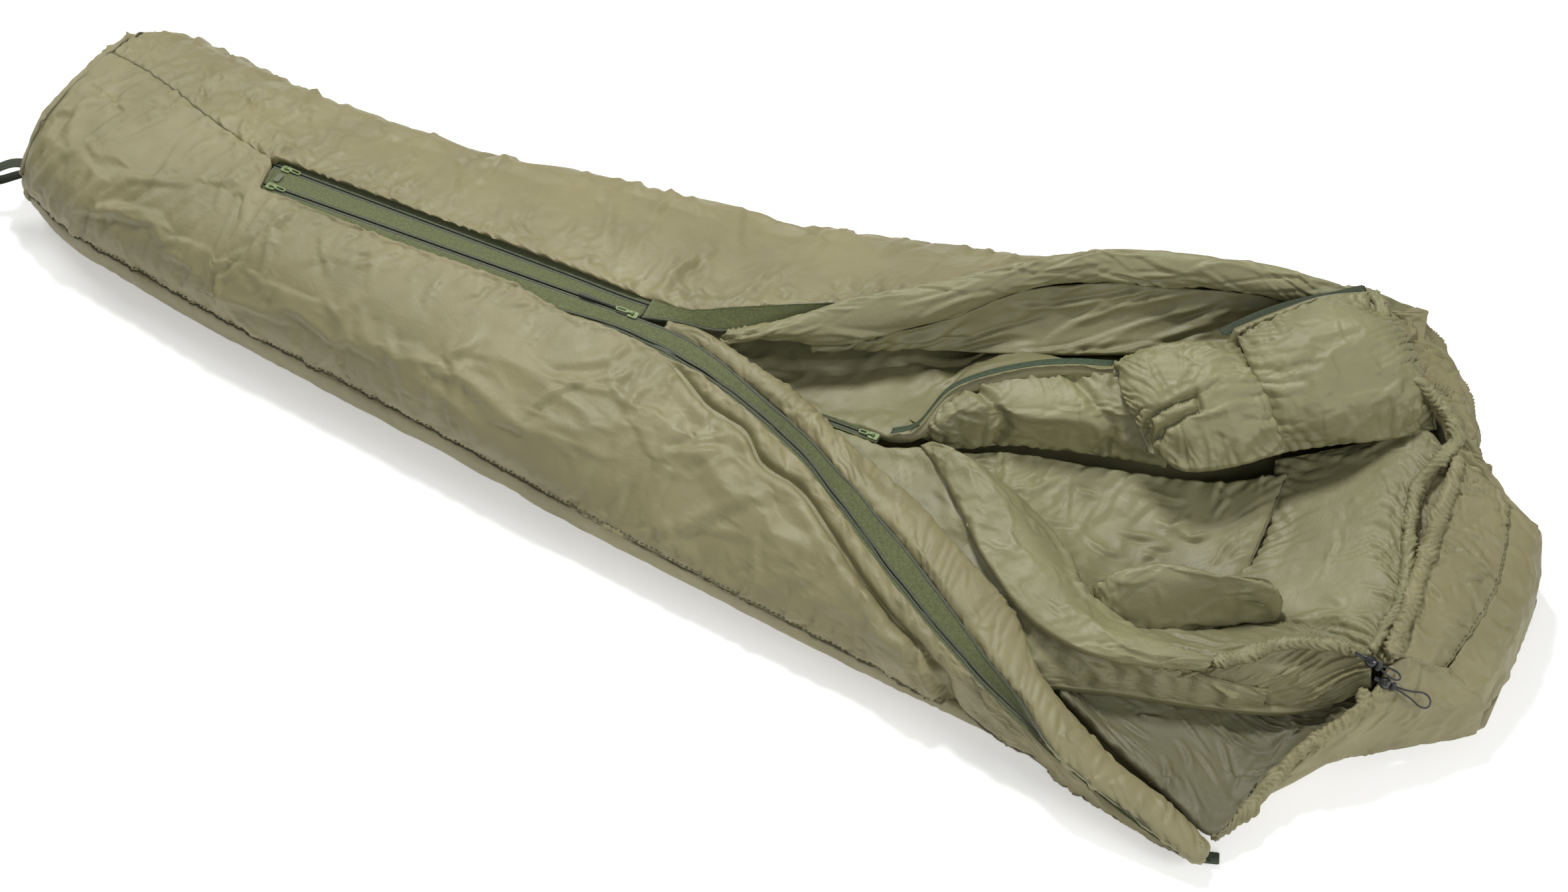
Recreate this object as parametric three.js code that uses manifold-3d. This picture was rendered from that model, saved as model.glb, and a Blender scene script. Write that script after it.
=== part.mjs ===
// A two-layer mummy sleeping bag, lying on a flat surface, with both bags half open.
// Frame: +X from the foot to the head, +Y away from the opened side, +Z up, millimetres.
// The origin is on the resting surface, under the middle of the bag.
import * as THREE from 'three';
import Module from 'manifold-3d';
import { mergeVertices } from 'three/addons/utils/BufferGeometryUtils.js';

const wasm = await Module();
wasm.setup();

// ---------- driving dimensions ----------
const FOOT_X = -1095;          // seam between the foot end cap and the long panels
const HEAD_X = 1132;           // crown of the hood, at the bottom panel
const SHELL = 20;              // thickness of the outer bag's padded panels
const LAYER_GAP = 5;           // air between the outer bag and the inner bag
const LINER = 16;              // thickness of the inner bag's padded panels
const HOOD_T = 8;              // thickness of the hood's panels
const SEAM_GAP = 0.6;          // space between two panels that meet in a seam
const EDGE_R = 58;             // rounding of the lower edge of the bag
const ROUNDNESS = 2.4;         // exponent of the top's superellipse
const ZIP_Z = 190;             // height of the closed zip's tape
const TAPE = 1.0;              // thickness of the zip tape
const CHAIN_GAP = 0.9;         // from a chain's centre to each row of coil
const COIL_W = 3.6;            // width of one row of coil
const COIL_H = 1.6;            // height of one row of coil
const COIL_GAP = 0.6;          // between the tape and the coil under it
const CORD_D = 2.6;            // elastic cord of the hood
const BALL_R = 8;              // cord lock ball

// Plan and height of the outer bag: x, centre y, half width, height, height of the side seam
const BODY = [
  [-1120, 66, 155, 150, 62], [-1095, 63, 176, 160, 66], [-1000, 48, 205, 184, 74],
  [-850, 25, 216, 197, 78], [-700, 8, 224, 204, 80], [-500, 0, 240, 207, 80],
  [-300, 8, 266, 207, 80], [-100, 22, 292, 202, 78], [100, 42, 324, 192, 74],
  [300, 52, 348, 180, 66], [500, 64, 372, 170, 54], [600, 74, 382, 165, 46],
  [700, 84, 392, 160, 38], [800, 92, 402, 155, 32], [870, 100, 410, 150, 28], [930, 122, 338, 140, 32],
  [1000, 112, 240, 120, 36], [1050, 106, 192, 100, 34], [1100, 108, 160, 80, 32], [1132, 112, 118, 60, 30],
];
// The inner bag: x, centre y, half width, height of its closed top, height of its side seam
const INNER = [
  [-1070, 61, 156, 138, 72], [-1000, 48, 178, 157, 76], [-850, 25, 189, 170, 80],
  [-700, 8, 197, 177, 82], [-500, 0, 213, 180, 82], [-300, 8, 239, 180, 82], [-160, 17, 258, 172, 80],
  [-50, 26, 272, 140, 74], [60, 41, 287, 118, 68], [275, 55, 314, 126, 66], [500, 75, 325, 140, 66],
  [600, 95, 325, 140, 66], [700, 120, 315, 140, 66], [800, 140, 305, 140, 66],
  [900, 138, 262, 130, 64], [960, 140, 218, 120, 62], [985, 128, 186, 110, 60],
];

// Lines that run along the bag: x, y, z
const CHAIN_A = [[-705, 12, 190], [-240, 18.15, 190], [-100, 20, 190], [-30, 34, 192], [60, 78, 196]];
const CHAIN_B = [[-705, -27.2, 190], [-100, -6, 190]];
const CHAIN_C = [
  [-705, -58, 188], [-450, -60, 188], [-250, -50, 188], [-130, -36, 188], [10, -44, 184],
  [90, -64, 176], [200, -104, 168], [320, -172, 153], [450, -243, 132], [550, -287, 112],
  [620, -308, 94], [670, -319, 78], [780, -336, 42], [866, -346, 20],
];
const B_NEAR = [
  [-100, -6.9, 190], [-20, -8, 189], [70, -34, 185], [190, -80, 180], [300, -130, 168],
  [410, -186, 152], [470, -221, 142], [540, -262, 130], [600, -293, 118], [670, -333, 101],
  [780, -352, 63], [866, -360, 38],
];
const B_FAR = [
  [-100, -5.1, 190], [-60, 22, 194], [0, 64, 201], [80, 106, 210], [180, 150, 219],
  [280, 246, 222], [380, 345, 222], [540, 428, 222], [720, 468, 218], [840, 486, 196],
];
const DRAFT_EDGE = [
  [-10, 8, 188], [70, -10, 188], [190, -50, 187], [290, -88, 178], [390, -120, 168],
  [450, -142, 160], [530, -182, 150], [600, -222, 138], [670, -262, 118], [750, -298, 92],
  [820, -306, 62], [866, -316, 40],
];
const FAR_ROLL = [
  [-25, 62, 150], [0, 84, 150], [60, 106, 152], [120, 130, 158], [230, 200, 196],
  [350, 300, 210], [460, 372, 211], [570, 404, 211], [680, 428, 211], [780, 446, 208], [850, 462, 186],
];
const FAR_EDGE = [
  [-100, 34, 201], [-30, 66, 206], [60, 124, 216], [160, 176, 226], [230, 232, 232],
  [350, 336, 234], [460, 404, 232], [570, 434, 232], [680, 458, 230], [780, 474, 226], [862, 492, 200],
];
const INNER_CREST = [
  [275, -2, 128], [330, 12, 138], [410, -22, 138], [460, -68, 132], [520, -110, 128],
  [580, -140, 122], [650, -160, 118], [740, -148, 110], [810, -136, 102], [880, -122, 96],
];
const FLAP_INNER = [
  [330, 26, 120], [410, 38, 108], [460, 48, 102], [500, 32, 100], [570, -28, 98],
  [645, -106, 98], [740, -116, 96], [810, -110, 92], [850, -106, 90],
];
const INNER_FAR_EDGE = [
  [275, 14, 128], [310, 38, 148], [330, 68, 160], [370, 110, 174], [400, 140, 182],
  [440, 172, 190], [510, 212, 196], [600, 262, 190], [700, 306, 188], [800, 352, 186], [880, 380, 176],
];
const FAR_COLLAR = [
  [330, 66, 128], [370, 86, 132], [460, 124, 138], [530, 156, 142], [600, 182, 142], [660, 206, 138],
];
const LINING_LOW = [
  [170, 148, 138], [340, 222, 140], [430, 258, 142], [490, 288, 142], [600, 338, 140],
  [750, 396, 132], [850, 432, 120],
];

// The middle of the bag's outline, in the tables' own coordinates: the origin goes there.
const ORIGIN = [-18.9, 75.6, 0];

// ---------- helpers ----------
const meshes = [];
const groups = [];

function smooth(table, x) {
  // Cubic through the rows of a table whose first column is x; constant slope is kept past the ends.
  const last = table.length - 1;
  let i = 0;
  while (i < last - 1 && x > table[i + 1][0]) i += 1;
  const span = table[i + 1][0] - table[i][0];
  const t = Math.min(1, Math.max(0, (x - table[i][0]) / span));
  const slope = (k, c) => {
    const a = Math.max(0, k - 1);
    const b = Math.min(last, k + 1);
    return (table[b][c] - table[a][c]) / (table[b][0] - table[a][0]);
  };
  return table[i].slice(1).map((start, c) => {
    const end = table[i + 1][c + 1];
    const m0 = slope(i, c + 1) * span;
    const m1 = slope(i + 1, c + 1) * span;
    return start * (2 * t ** 3 - 3 * t ** 2 + 1) + m0 * (t ** 3 - 2 * t ** 2 + t)
      + end * (3 * t ** 2 - 2 * t ** 3) + m1 * (t ** 3 - t ** 2);
  });
}

const spread = (a, b, count) => Array.from({ length: count + 1 }, (_, i) => a + (b - a) * i / count);
const mix = (a, b, t) => a + (b - a) * t;

function addMesh(name, geometry, colour, roughness = 0.8, metalness = 0) {
  const material = new THREE.MeshStandardMaterial({ color: colour, roughness, metalness });
  const mesh = new THREE.Mesh(geometry, material);
  mesh.name = name;
  meshes.push(mesh);
  return mesh;
}

function fromTriangles(points, triangles) {
  // Turns the triangles over if they enclose a negative volume.
  let volume = 0;
  for (const [a, b, c] of triangles) {
    volume += points[a].dot(new THREE.Vector3().crossVectors(points[b], points[c]));
  }
  const index = triangles.flatMap(([a, b, c]) => (volume > 0 ? [a, b, c] : [a, c, b]));
  const geometry = new THREE.BufferGeometry();
  geometry.setAttribute('position', new THREE.Float32BufferAttribute(points.flatMap((p) => p.toArray()), 3));
  geometry.setIndex(index);
  geometry.computeVertexNormals();
  return geometry;
}

function gridSolid(outer, inner) {
  // Two grids of points, one over the other, closed along their four edges.
  const rows = outer.length;
  const cols = outer[0].length;
  const points = [...outer.flat(), ...inner.flat()];
  const top = (i, j) => i * cols + j;
  const low = (i, j) => rows * cols + i * cols + j;
  const triangles = [];
  const quad = (a, b, c, d) => triangles.push([a, b, c], [a, c, d]);
  for (let i = 0; i + 1 < rows; i += 1) {
    for (let j = 0; j + 1 < cols; j += 1) {
      quad(top(i, j), top(i, j + 1), top(i + 1, j + 1), top(i + 1, j));
      quad(low(i, j), low(i + 1, j), low(i + 1, j + 1), low(i, j + 1));
    }
    quad(top(i, 0), top(i + 1, 0), low(i + 1, 0), low(i, 0));
    quad(top(i, cols - 1), low(i, cols - 1), low(i + 1, cols - 1), top(i + 1, cols - 1));
  }
  for (let j = 0; j + 1 < cols; j += 1) {
    quad(top(0, j), low(0, j), low(0, j + 1), top(0, j + 1));
    quad(top(rows - 1, j), top(rows - 1, j + 1), low(rows - 1, j + 1), low(rows - 1, j));
  }
  return fromTriangles(points, triangles);
}

function loft(rings) {
  // Closed rings of points in order, with a fan over each end.
  const sides = rings[0].length;
  const points = rings.flat();
  const triangles = [];
  for (let i = 0; i + 1 < rings.length; i += 1) {
    for (let j = 0; j < sides; j += 1) {
      const a = i * sides + j;
      const b = i * sides + (j + 1) % sides;
      triangles.push([a, b, b + sides], [a, b + sides, a + sides]);
    }
  }
  for (const [base, flip] of [[0, true], [(rings.length - 1) * sides, false]]) {
    const centre = points.length;
    const middle = new THREE.Vector3();
    for (let j = 0; j < sides; j += 1) middle.add(points[base + j]);
    points.push(middle.divideScalar(sides));
    for (let j = 0; j < sides; j += 1) {
      const a = base + j;
      const b = base + (j + 1) % sides;
      triangles.push(flip ? [centre, b, a] : [centre, a, b]);
    }
  }
  return fromTriangles(points, triangles);
}

function thicken(line, thickness) {
  // Offsets a line of [y, z] points to its right by a thickness, which may be a function of 0..1.
  return line.map((point, k) => {
    const before = line[Math.max(0, k - 1)];
    const after = line[Math.min(line.length - 1, k + 1)];
    const along = new THREE.Vector2(after[0] - before[0], after[1] - before[1]).normalize();
    const t = typeof thickness === 'function' ? thickness(k / (line.length - 1)) : thickness;
    return [point[0] + along.y * t, point[1] - along.x * t];
  });
}

function cutEnd(line, under, at, next, cut, thickness) {
  // Squares the end of a panel: 'level' for a side seam, 'plumb' for an edge on top of the bag.
  const end = line.at(at);
  const rising = at === 0 ? line.at(next)[1] > end[1] : end[1] > line.at(next)[1];
  if (cut === 'level') under.splice(at, 1, [end[0] + (rising ? thickness : -thickness), end[1]]);
  if (cut === 'plumb') under.splice(at, 1, [end[0], end[1] - thickness]);
}

function longPanel(stations, section, thickness, { start = 'square', end = 'square' } = {}) {
  // A padded panel along X: section(x) gives its outer line of [y, z] points, and the padding
  // lies to the right of it.
  const outer = [];
  const inner = [];
  for (const x of stations) {
    const line = section(x);
    const depth = typeof thickness === 'function' ? (k) => thickness(k, x) : () => thickness;
    const under = thicken(line, depth);
    cutEnd(line, under, 0, 1, start, depth(0));
    cutEnd(line, under, -1, -2, end, depth(1));
    outer.push(line.map(([y, z]) => new THREE.Vector3(x, y, z)));
    inner.push(under.map(([y, z]) => new THREE.Vector3(x, y, z)));
  }
  return gridSolid(outer, inner);
}

function ribbon(stations, lineA, lineB, thickness) {
  // A flat tape between two lines along X, centred on them.
  const side = (shift) => stations.map((x) => thicken([lineA(x), lineB(x)], shift)
    .map(([y, z]) => new THREE.Vector3(x, y, z)));
  return gridSolid(side(-thickness / 2), side(thickness / 2));
}

function padTube(stations, centre, radii, sides = 8) {
  // A stuffed tube along X: centre(x) gives y, z and radii(x) its two half sizes and its tilt.
  return loft(stations.map((x) => {
    const [y, z] = centre(x);
    const [across, up, tilt = 0] = radii(x);
    return spread(0, 2 * Math.PI, sides).slice(0, sides).map((a) => {
      const dy = across * Math.cos(a);
      const dz = up * Math.sin(a);
      return new THREE.Vector3(x, y + dy * Math.cos(tilt) - dz * Math.sin(tilt),
        z + dy * Math.sin(tilt) + dz * Math.cos(tilt));
    });
  }));
}

function sweptPad(points, across, up, steps, sides = 8) {
  // A stuffed tube along any curve, flattened to two half sizes, with drawn-in ends.
  const curve = new THREE.CatmullRomCurve3(points.map((p) => new THREE.Vector3(...p)), false, 'centripetal');
  const rings = spread(0, 1, steps).map((u) => {
    const middle = curve.getPointAt(u);
    const along = curve.getTangentAt(u);
    const sideways = new THREE.Vector3().crossVectors(new THREE.Vector3(0, 0, 1), along).normalize();
    const upward = new THREE.Vector3().crossVectors(along, sideways).normalize();
    const fullness = 0.55 + 0.45 * Math.sin(Math.PI * u) ** 0.4;
    return spread(0, 2 * Math.PI, sides).slice(0, sides).map((a) => middle.clone()
      .addScaledVector(sideways, across * fullness * Math.cos(a))
      .addScaledVector(upward, up * fullness * Math.sin(a)));
  });
  return loft(rings);
}

function patch(railRows, thickness, alongSteps, acrossSteps) {
  // A padded patch through rails of [x, y, z] points; the rails run along it, side by side.
  const rails = railRows.map((row) => new THREE.CatmullRomCurve3(row.map((p) => new THREE.Vector3(...p)),
    false, 'centripetal'));
  const across = (u) => new THREE.CatmullRomCurve3(rails.map((r) => r.getPoint(u)), false, 'centripetal');
  const at = (u, v) => across(u).getPoint(v);
  const outer = [];
  const inner = [];
  for (const u of spread(0, 1, alongSteps)) {
    const row = spread(0, 1, acrossSteps).map((v) => at(u, v));
    const under = spread(0, 1, acrossSteps).map((v, j) => {
      const e = 0.01;
      const du = at(Math.min(1, u + e), v).sub(at(Math.max(0, u - e), v));
      const dv = at(u, Math.min(1, v + e)).sub(at(u, Math.max(0, v - e)));
      return row[j].clone().addScaledVector(du.cross(dv).normalize(), -thickness);
    });
    outer.push(row);
    inner.push(under);
  }
  return gridSolid(outer, inner);
}

// ---------- cross sections ----------
function topArc(body, x, from, to, inset, count) {
  // Points of a closed bag's top from one fraction of its width to another, near side first.
  const [middle, half, height, seam] = smooth(body, x);
  return spread(from, to, count).map((a) => {
    const c = Math.cos(a * Math.PI);
    const s = Math.sin(a * Math.PI);
    const power = 2 / ROUNDNESS;
    return [middle - (half - inset) * Math.sign(c) * Math.abs(c) ** power,
      seam + SEAM_GAP + (height - seam - SEAM_GAP - inset) * Math.abs(s) ** power];
  });
}

function arcFraction(body, x, y) {
  // The fraction of the top arc at which the section reaches a given y.
  const [middle, half] = smooth(body, x);
  const share = Math.min(1, Math.max(-1, (middle - y) / half));
  return Math.acos(Math.sign(share) * Math.abs(share) ** (ROUNDNESS / 2)) / Math.PI;
}

function bottomLine(body, x, floor, count) {
  // From the far side seam, round under a bag that lies at a given height, to the near side seam.
  const [middle, half, , seam] = smooth(body, x);
  const edge = Math.min(EDGE_R, half * 0.45);
  const bend = (b, side) => [middle + side * (half - edge + edge * Math.cos(b)),
    seam - SEAM_GAP - (seam - SEAM_GAP - floor) * Math.sin(b)];
  const far = spread(0, Math.PI / 2, 3).map((b) => bend(b, 1));
  const near = spread(Math.PI / 2, 0, 3).map((b) => bend(b, -1));
  const flat = spread(far.at(-1)[0], near[0][0], count).slice(1, count).map((y) => [y, floor]);
  return [...far, ...flat, ...near];
}

const openness = (x, start, end) => THREE.MathUtils.smoothstep(x, start, end);

function bridge(from, to, control, count) {
  // A quadratic curve between two [y, z] points.
  return spread(0, 1, count).map((t) => [
    (1 - t) ** 2 * from[0] + 2 * t * (1 - t) * control[0] + t ** 2 * to[0],
    (1 - t) ** 2 * from[1] + 2 * t * (1 - t) * control[1] + t ** 2 * to[1],
  ]);
}

const blendLines = (a, b, t) => a.map((p, k) => [mix(p[0], b[k][0], t), mix(p[1], b[k][1], t)]);

// ---------- colours ----------
const SHELL_OLIVE = 0x9a9574;
const LINING_OLIVE = 0x8a8c63;
const INNER_OLIVE = 0x8b8a6c;
const TAPE_GREEN = 0x6f8350;
const COIL_GREEN = 0x4e5546;
const SLIDER_GREEN = 0x8aa860;
const WEBBING_GREEN = 0x2f3a2e;
const BLACK = 0x161616;

// ---------- outer bag ----------
const CENTRE_SEAM = [[-1095, 128], [-1060, 118], [-960, 88], [-860, 54], [-790, 32], [-720, 14]];
const LONG = [-1094, -1060, -1000, -930, -850, -780, -712, -600, -480, -350, -250, -160, -90, -20, 50];
const chainC = (x) => smooth(CHAIN_C, x);
const bNear = (x) => (x < -100 ? [smooth(CHAIN_B, x)[0] - CHAIN_GAP, ZIP_Z] : smooth(B_NEAR, x));
const bFar = (x) => (x < -100 ? [smooth(CHAIN_B, x)[0] + CHAIN_GAP, ZIP_Z] : smooth(B_FAR, x));

function nearEdge(x) {
  // The zip edge of the near panel: it laps over chain C where the bag is closed.
  if (x < -712) return [smooth(CENTRE_SEAM, x)[0] - SEAM_GAP, 0];
  const [y, z] = chainC(x);
  return [y + mix(11, -9, openness(x, -300, -170)), z + mix(3, -2, openness(x, 560, 700))];
}

function nearSection(x) {
  const [middle, half, , seam] = smooth(BODY, x);
  const edge = nearEdge(x);
  const closed = topArc(BODY, x, 0, arcFraction(BODY, x, edge[0]), 0, 6);
  const low = openness(x, 630, 700);
  const outside = openness(x, 530, 615) * 15;
  const startY = mix(middle - half - outside, Math.min(edge[0] + 8, middle - half - outside), low);
  const start = [startY, mix(seam + SEAM_GAP, 5, low)];
  const open = bridge(start, edge, [mix(start[0], edge[0], 0.3) - 8 * low, mix(start[1], edge[1], 0.95)], 6);
  return blendLines(closed, open, openness(x, -160, 20));
}

function farSection(x) {
  const [middle, half, , seam] = smooth(BODY, x);
  const closedY = x < -712 ? smooth(CENTRE_SEAM, x)[0] : smooth(CHAIN_A, x)[0] + 14;
  const edge = smooth(FAR_EDGE, x);
  const closed = topArc(BODY, x, arcFraction(BODY, x, closedY), 1, 0, 6);
  const end = [middle + half, seam + SEAM_GAP];
  const open = bridge(edge, end, [mix(edge[0], end[0], 0.9), mix(end[1], edge[1], 0.9)], 6);
  return blendLines(closed, open, openness(x, -160, 20));
}

function outerBag() {
  const base = [...LONG, 150, 260, 380, 500, 610, 720, 800, 868, 930, 1000, 1050, 1100, HEAD_X];
  addMesh('outer_bottom_panel', longPanel(base, (x) => bottomLine(BODY, x, 0, 4), SHELL,
    { start: 'level', end: 'level' }), SHELL_OLIVE);
  const lip = (k, x) => mix(SHELL, x < -712 ? SHELL : 10, k ** 3) * mix(1, 0.4, openness(x, 450, 680));
  const near = [...LONG, 150, 260, 380, 500, 610, 700, 780, 860];
  addMesh('outer_near_panel', longPanel(near, nearSection, lip,
    { start: 'level', end: 'plumb' }), SHELL_OLIVE);
  const wall = (k, x) => mix(x < -712 ? SHELL : 9, SHELL - 2, Math.min(1, 2.5 * k));
  const far = [...LONG, 150, 260, 380, 500, 610, 720, 800, 862];
  addMesh('outer_far_panel', longPanel(far, farSection, wall,
    { start: 'plumb', end: 'level' }), SHELL_OLIVE);
  addMesh('foot_end_cap', footCap(), SHELL_OLIVE);
}

function footCap() {
  // A dome over the foot end, whose rim follows the section of the long panels.
  const rim = (inset) => {
    const [middle, half, height, seam] = smooth(BODY, FOOT_X);
    return spread(0, 2, 20).slice(0, 20).map((a) => {
      const c = Math.cos(a * Math.PI);
      const s = Math.sin(a * Math.PI);
      const power = 2 / ROUNDNESS;
      const tall = s > 0 ? height - seam - inset : seam - inset;
      return [middle - (half - inset) * Math.sign(c) * Math.abs(c) ** power,
        seam + tall * Math.sign(s) * Math.abs(s) ** power];
    });
  };
  const dome = (inset, depth, start) => spread(0, 1, 4).map((share) => {
    const [middle, , , seam] = smooth(BODY, FOOT_X);
    const size = Math.cos(share * Math.PI / 2 * 0.97);
    const x = start - depth * Math.sin(share * Math.PI / 2);
    return [...rim(inset), rim(inset)[0]].map(([y, z]) => new THREE.Vector3(
      x, middle + (y - middle) * size, Math.max(inset, seam + (z - seam) * size)));
  });
  const outer = dome(0, 52, FOOT_X - SEAM_GAP);
  const inner = dome(SHELL, 34, FOOT_X - SEAM_GAP);
  return closedDome(outer, inner);
}

function closedDome(outer, inner) {
  // Two nested domes of rings, each closed by a fan at its top and joined at the rim.
  const sides = outer[0].length - 1;
  const points = [];
  const triangles = [];
  const ring = (rows, i) => {
    const start = points.length;
    points.push(...rows[i].slice(0, sides));
    return start;
  };
  const join = (a, b) => {
    for (let j = 0; j < sides; j += 1) {
      const k = (j + 1) % sides;
      triangles.push([a + j, a + k, b + k], [a + j, b + k, b + j]);
    }
  };
  const fan = (a, rows, flip) => {
    const centre = points.length;
    const middle = new THREE.Vector3();
    rows.at(-1).slice(0, sides).forEach((p) => middle.add(p));
    points.push(middle.divideScalar(sides));
    for (let j = 0; j < sides; j += 1) {
      const k = (j + 1) % sides;
      triangles.push(flip ? [centre, a + k, a + j] : [centre, a + j, a + k]);
    }
  };
  const outerRings = outer.map((_, i) => ring(outer, i));
  const innerRings = inner.map((_, i) => ring(inner, i));
  for (let i = 0; i + 1 < outer.length; i += 1) {
    join(outerRings[i], outerRings[i + 1]);
    join(innerRings[i + 1], innerRings[i]);
  }
  join(innerRings[0], outerRings[0]);
  fan(outerRings.at(-1), outer, false);
  fan(innerRings.at(-1), inner, true);
  return fromTriangles(points, triangles);
}

function flaps() {
  const roll = [-25, 20, 70, 130, 190, 250, 310, 380, 460, 540, 630, 720, 790, 850];
  const height = [[-25, 10], [60, 20], [130, 24], [230, 26], [350, 19], [600, 18], [850, 12]];
  addMesh('far_flap_roll', padTube(roll, (x) => smooth(FAR_ROLL, x), (x) => [14, smooth(height, x)[0]]),
    LINING_OLIVE);
  const draft = [-8, 40, 110, 190, 280, 370, 450, 530, 600, 670, 740, 800, 864];
  addMesh('near_draft_tube', padTube(draft, (x) => {
    const [by, bz] = smooth(B_NEAR, x);
    const [dy, dz] = smooth(DRAFT_EDGE, x);
    return [(by + dy) / 2 + 4, (bz + dz) / 2 - 5];
  }, (x) => {
    const wide = smooth(DRAFT_EDGE, x)[0] - smooth(B_NEAR, x)[0];
    return [wide / 2 - 6, Math.min(14, 0.5 * wide)];
  }), LINING_OLIVE);
  const lining = [180, 260, 350, 440, 540, 640, 740, 845];
  addMesh('outer_far_lining', longPanel(lining, (x) => {
    const low = smooth(LINING_LOW, x);
    const [ry, rz] = smooth(FAR_ROLL, x);
    const high = [ry + 4, rz - smooth(height, x)[0] - 7];
    return bridge(low, high, [mix(low[0], high[0], 0.75), mix(low[1], high[1], 0.25)], 4);
  }, 6), LINING_OLIVE);
  // The floor of the outer bag that shows between its near panel and the inner bag.
  const floor = [620, 680, 740, 800, 860, 905];
  const wallSide = floor.map((x) => new THREE.Vector2(x, smooth(BODY, x)[0] - smooth(BODY, x)[1] + 62));
  const bagSide = floor.map((x) => new THREE.Vector2(x, smooth(INNER, x)[0] - smooth(INNER, x)[1] - 8));
  const slab = new THREE.ExtrudeGeometry(new THREE.Shape([...wallSide, ...bagSide.reverse()]),
    { depth: 8, bevelEnabled: false });
  addMesh('outer_near_lining', slab.translate(0, 0, 23), LINING_OLIVE);
}

// ---------- inner bag ----------
function innerSection(x, side) {
  // The near or far half of the inner bag's top: closed up to the inner zip, then turned open.
  const [middle, half, , seam] = smooth(INNER, x);
  const start = [middle + side * half, seam + SEAM_GAP];
  const crest = side < 0 ? smooth(INNER_CREST, x) : smooth(INNER_FAR_EDGE, x);
  const edge = side < 0 ? [crest[0] - 4, crest[1] - 4] : crest;
  const zipY = side < 0 ? -5 : 13;
  const fraction = arcFraction(INNER, x, zipY);
  const closed = side < 0 ? topArc(INNER, x, 0, fraction, 0, 5) : topArc(INNER, x, fraction, 1, 0, 5);
  const sag = [mix(start[0], edge[0], 0.45), mix(start[1], edge[1], side < 0 ? 0.6 : 0.2)];
  const open = side < 0 ? bridge(start, edge, sag, 5) : bridge(edge, start, sag, 5);
  return blendLines(closed, open, openness(x, 200, 330));
}

function innerBag() {
  const base = [-1070, -1000, -850, -700, -500, -300, -160, -50, 60, 200, 330, 460, 590, 700, 800, 900, 960,
    985];
  addMesh('inner_bottom_panel', longPanel(base, (x) => bottomLine(INNER, x, SHELL + LAYER_GAP, 4), LINER,
    { start: 'level', end: 'level' }), INNER_OLIVE);
  const nearTop = [...base.slice(0, 10), 270, 330, 410, 500, 590, 700, 800, 875];
  addMesh('inner_near_panel', longPanel(nearTop, (x) => innerSection(x, -1), LINER,
    { start: 'level', end: 'plumb' }), INNER_OLIVE);
  addMesh('inner_far_panel', longPanel([...nearTop.slice(0, -1), 880], (x) => innerSection(x, 1), LINER,
    { start: 'plumb', end: 'level' }), INNER_OLIVE);
  addMesh('inner_near_flap', padTube([330, 370, 410, 460, 520, 580, 645, 740, 845], (x) => {
    const [cy, cz] = smooth(INNER_CREST, x);
    const [fy, fz] = smooth(FLAP_INNER, x);
    return [(cy + fy) / 2 + 3, (cz + fz) / 2 + 2];
  }, (x) => {
    const [cy, cz] = smooth(INNER_CREST, x);
    const [fy, fz] = smooth(FLAP_INNER, x);
    const wide = Math.hypot(fy - cy, fz - cz);
    return [wide / 2 - 3, Math.min(15, 0.5 * wide), Math.atan2(fz - cz, fy - cy)];
  }), LINING_OLIVE);
  const fullness = [[330, 12, 10], [370, 22, 18], [460, 46, 34], [530, 54, 38], [600, 56, 38], [660, 50, 32]];
  addMesh('far_collar_tube', padTube([334, 356, 384, 430, 480, 540, 600, 655], (x) => smooth(FAR_COLLAR, x),
    (x) => smooth(fullness, x), 10), LINING_OLIVE);
}

function innerPads() {
  addMesh('quilted_collar_tab', patch([
    [[631, 70, 172], [700, 120, 182], [756, 184, 192]],
    [[544, 127, 226], [625, 168, 258], [712, 203, 242]],
    [[506, 190, 212], [582, 254, 238], [650, 284, 246]],
  ], 26, 6, 6), LINING_OLIVE);
  addMesh('far_hood_baffle', patch([
    [[768, 192, 192], [830, 236, 196], [884, 272, 190]],
    [[722, 210, 243], [790, 285, 264], [862, 332, 224]],
    [[662, 290, 248], [735, 366, 264], [792, 436, 250]],
  ], 26, 6, 6), LINING_OLIVE);
  addMesh('near_collar_pad', sweptPad([[664, -88, 108], [724, -64, 112], [800, -30, 112], [862, 0, 112]],
    30, 22, 7, 10), LINING_OLIVE);
  addMesh('torso_baffle', longPanel([430, 510, 590, 680, 764], (x) => {
    const [middle, half] = smooth(INNER, x);
    return spread(middle - half * 0.55, middle + half * 0.6, 5).map((y) => [y, 60]);
  }, 14), LINING_OLIVE);
  addMesh('head_baffle', patch([
    [[940, 20, 122], [930, 100, 122], [918, 180, 124], [900, 250, 126]],
    [[870, -10, 82], [866, 90, 82], [860, 180, 84], [852, 270, 88]],
    [[772, -20, 62], [772, 80, 62], [772, 180, 62], [772, 290, 64]],
  ], 14, 6, 6), LINING_OLIVE);
}

// ---------- drawcord channels ----------
function channels() {
  addMesh('outer_channel_upper', sweptPad([[1001, -30, 148], [997, 20, 154], [994, 80, 160], [996, 140, 168],
    [994, 200, 176], [988, 262, 188]], 8, 8, 12), SHELL_OLIVE);
  addMesh('outer_channel_lower', sweptPad([[982, -72, 131], [997, -96, 121], [976, -142, 92], [950, -182, 70],
    [926, -232, 50], [908, -284, 40]], 9, 8, 10), SHELL_OLIVE);
  addMesh('inner_channel_near', sweptPad([[838, -124, 124], [872, -96, 140], [910, -62, 150],
    [954, -58, 152]], 9, 9, 9), INNER_OLIVE);
  addMesh('inner_channel_far', sweptPad([[972, -28, 142], [976, 20, 142], [962, 110, 144], [950, 200, 158],
    [944, 262, 176], [938, 318, 196], [900, 350, 222], [868, 372, 238], [824, 428, 250], [806, 456, 256]],
  8, 8, 18), INNER_OLIVE);
}

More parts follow.
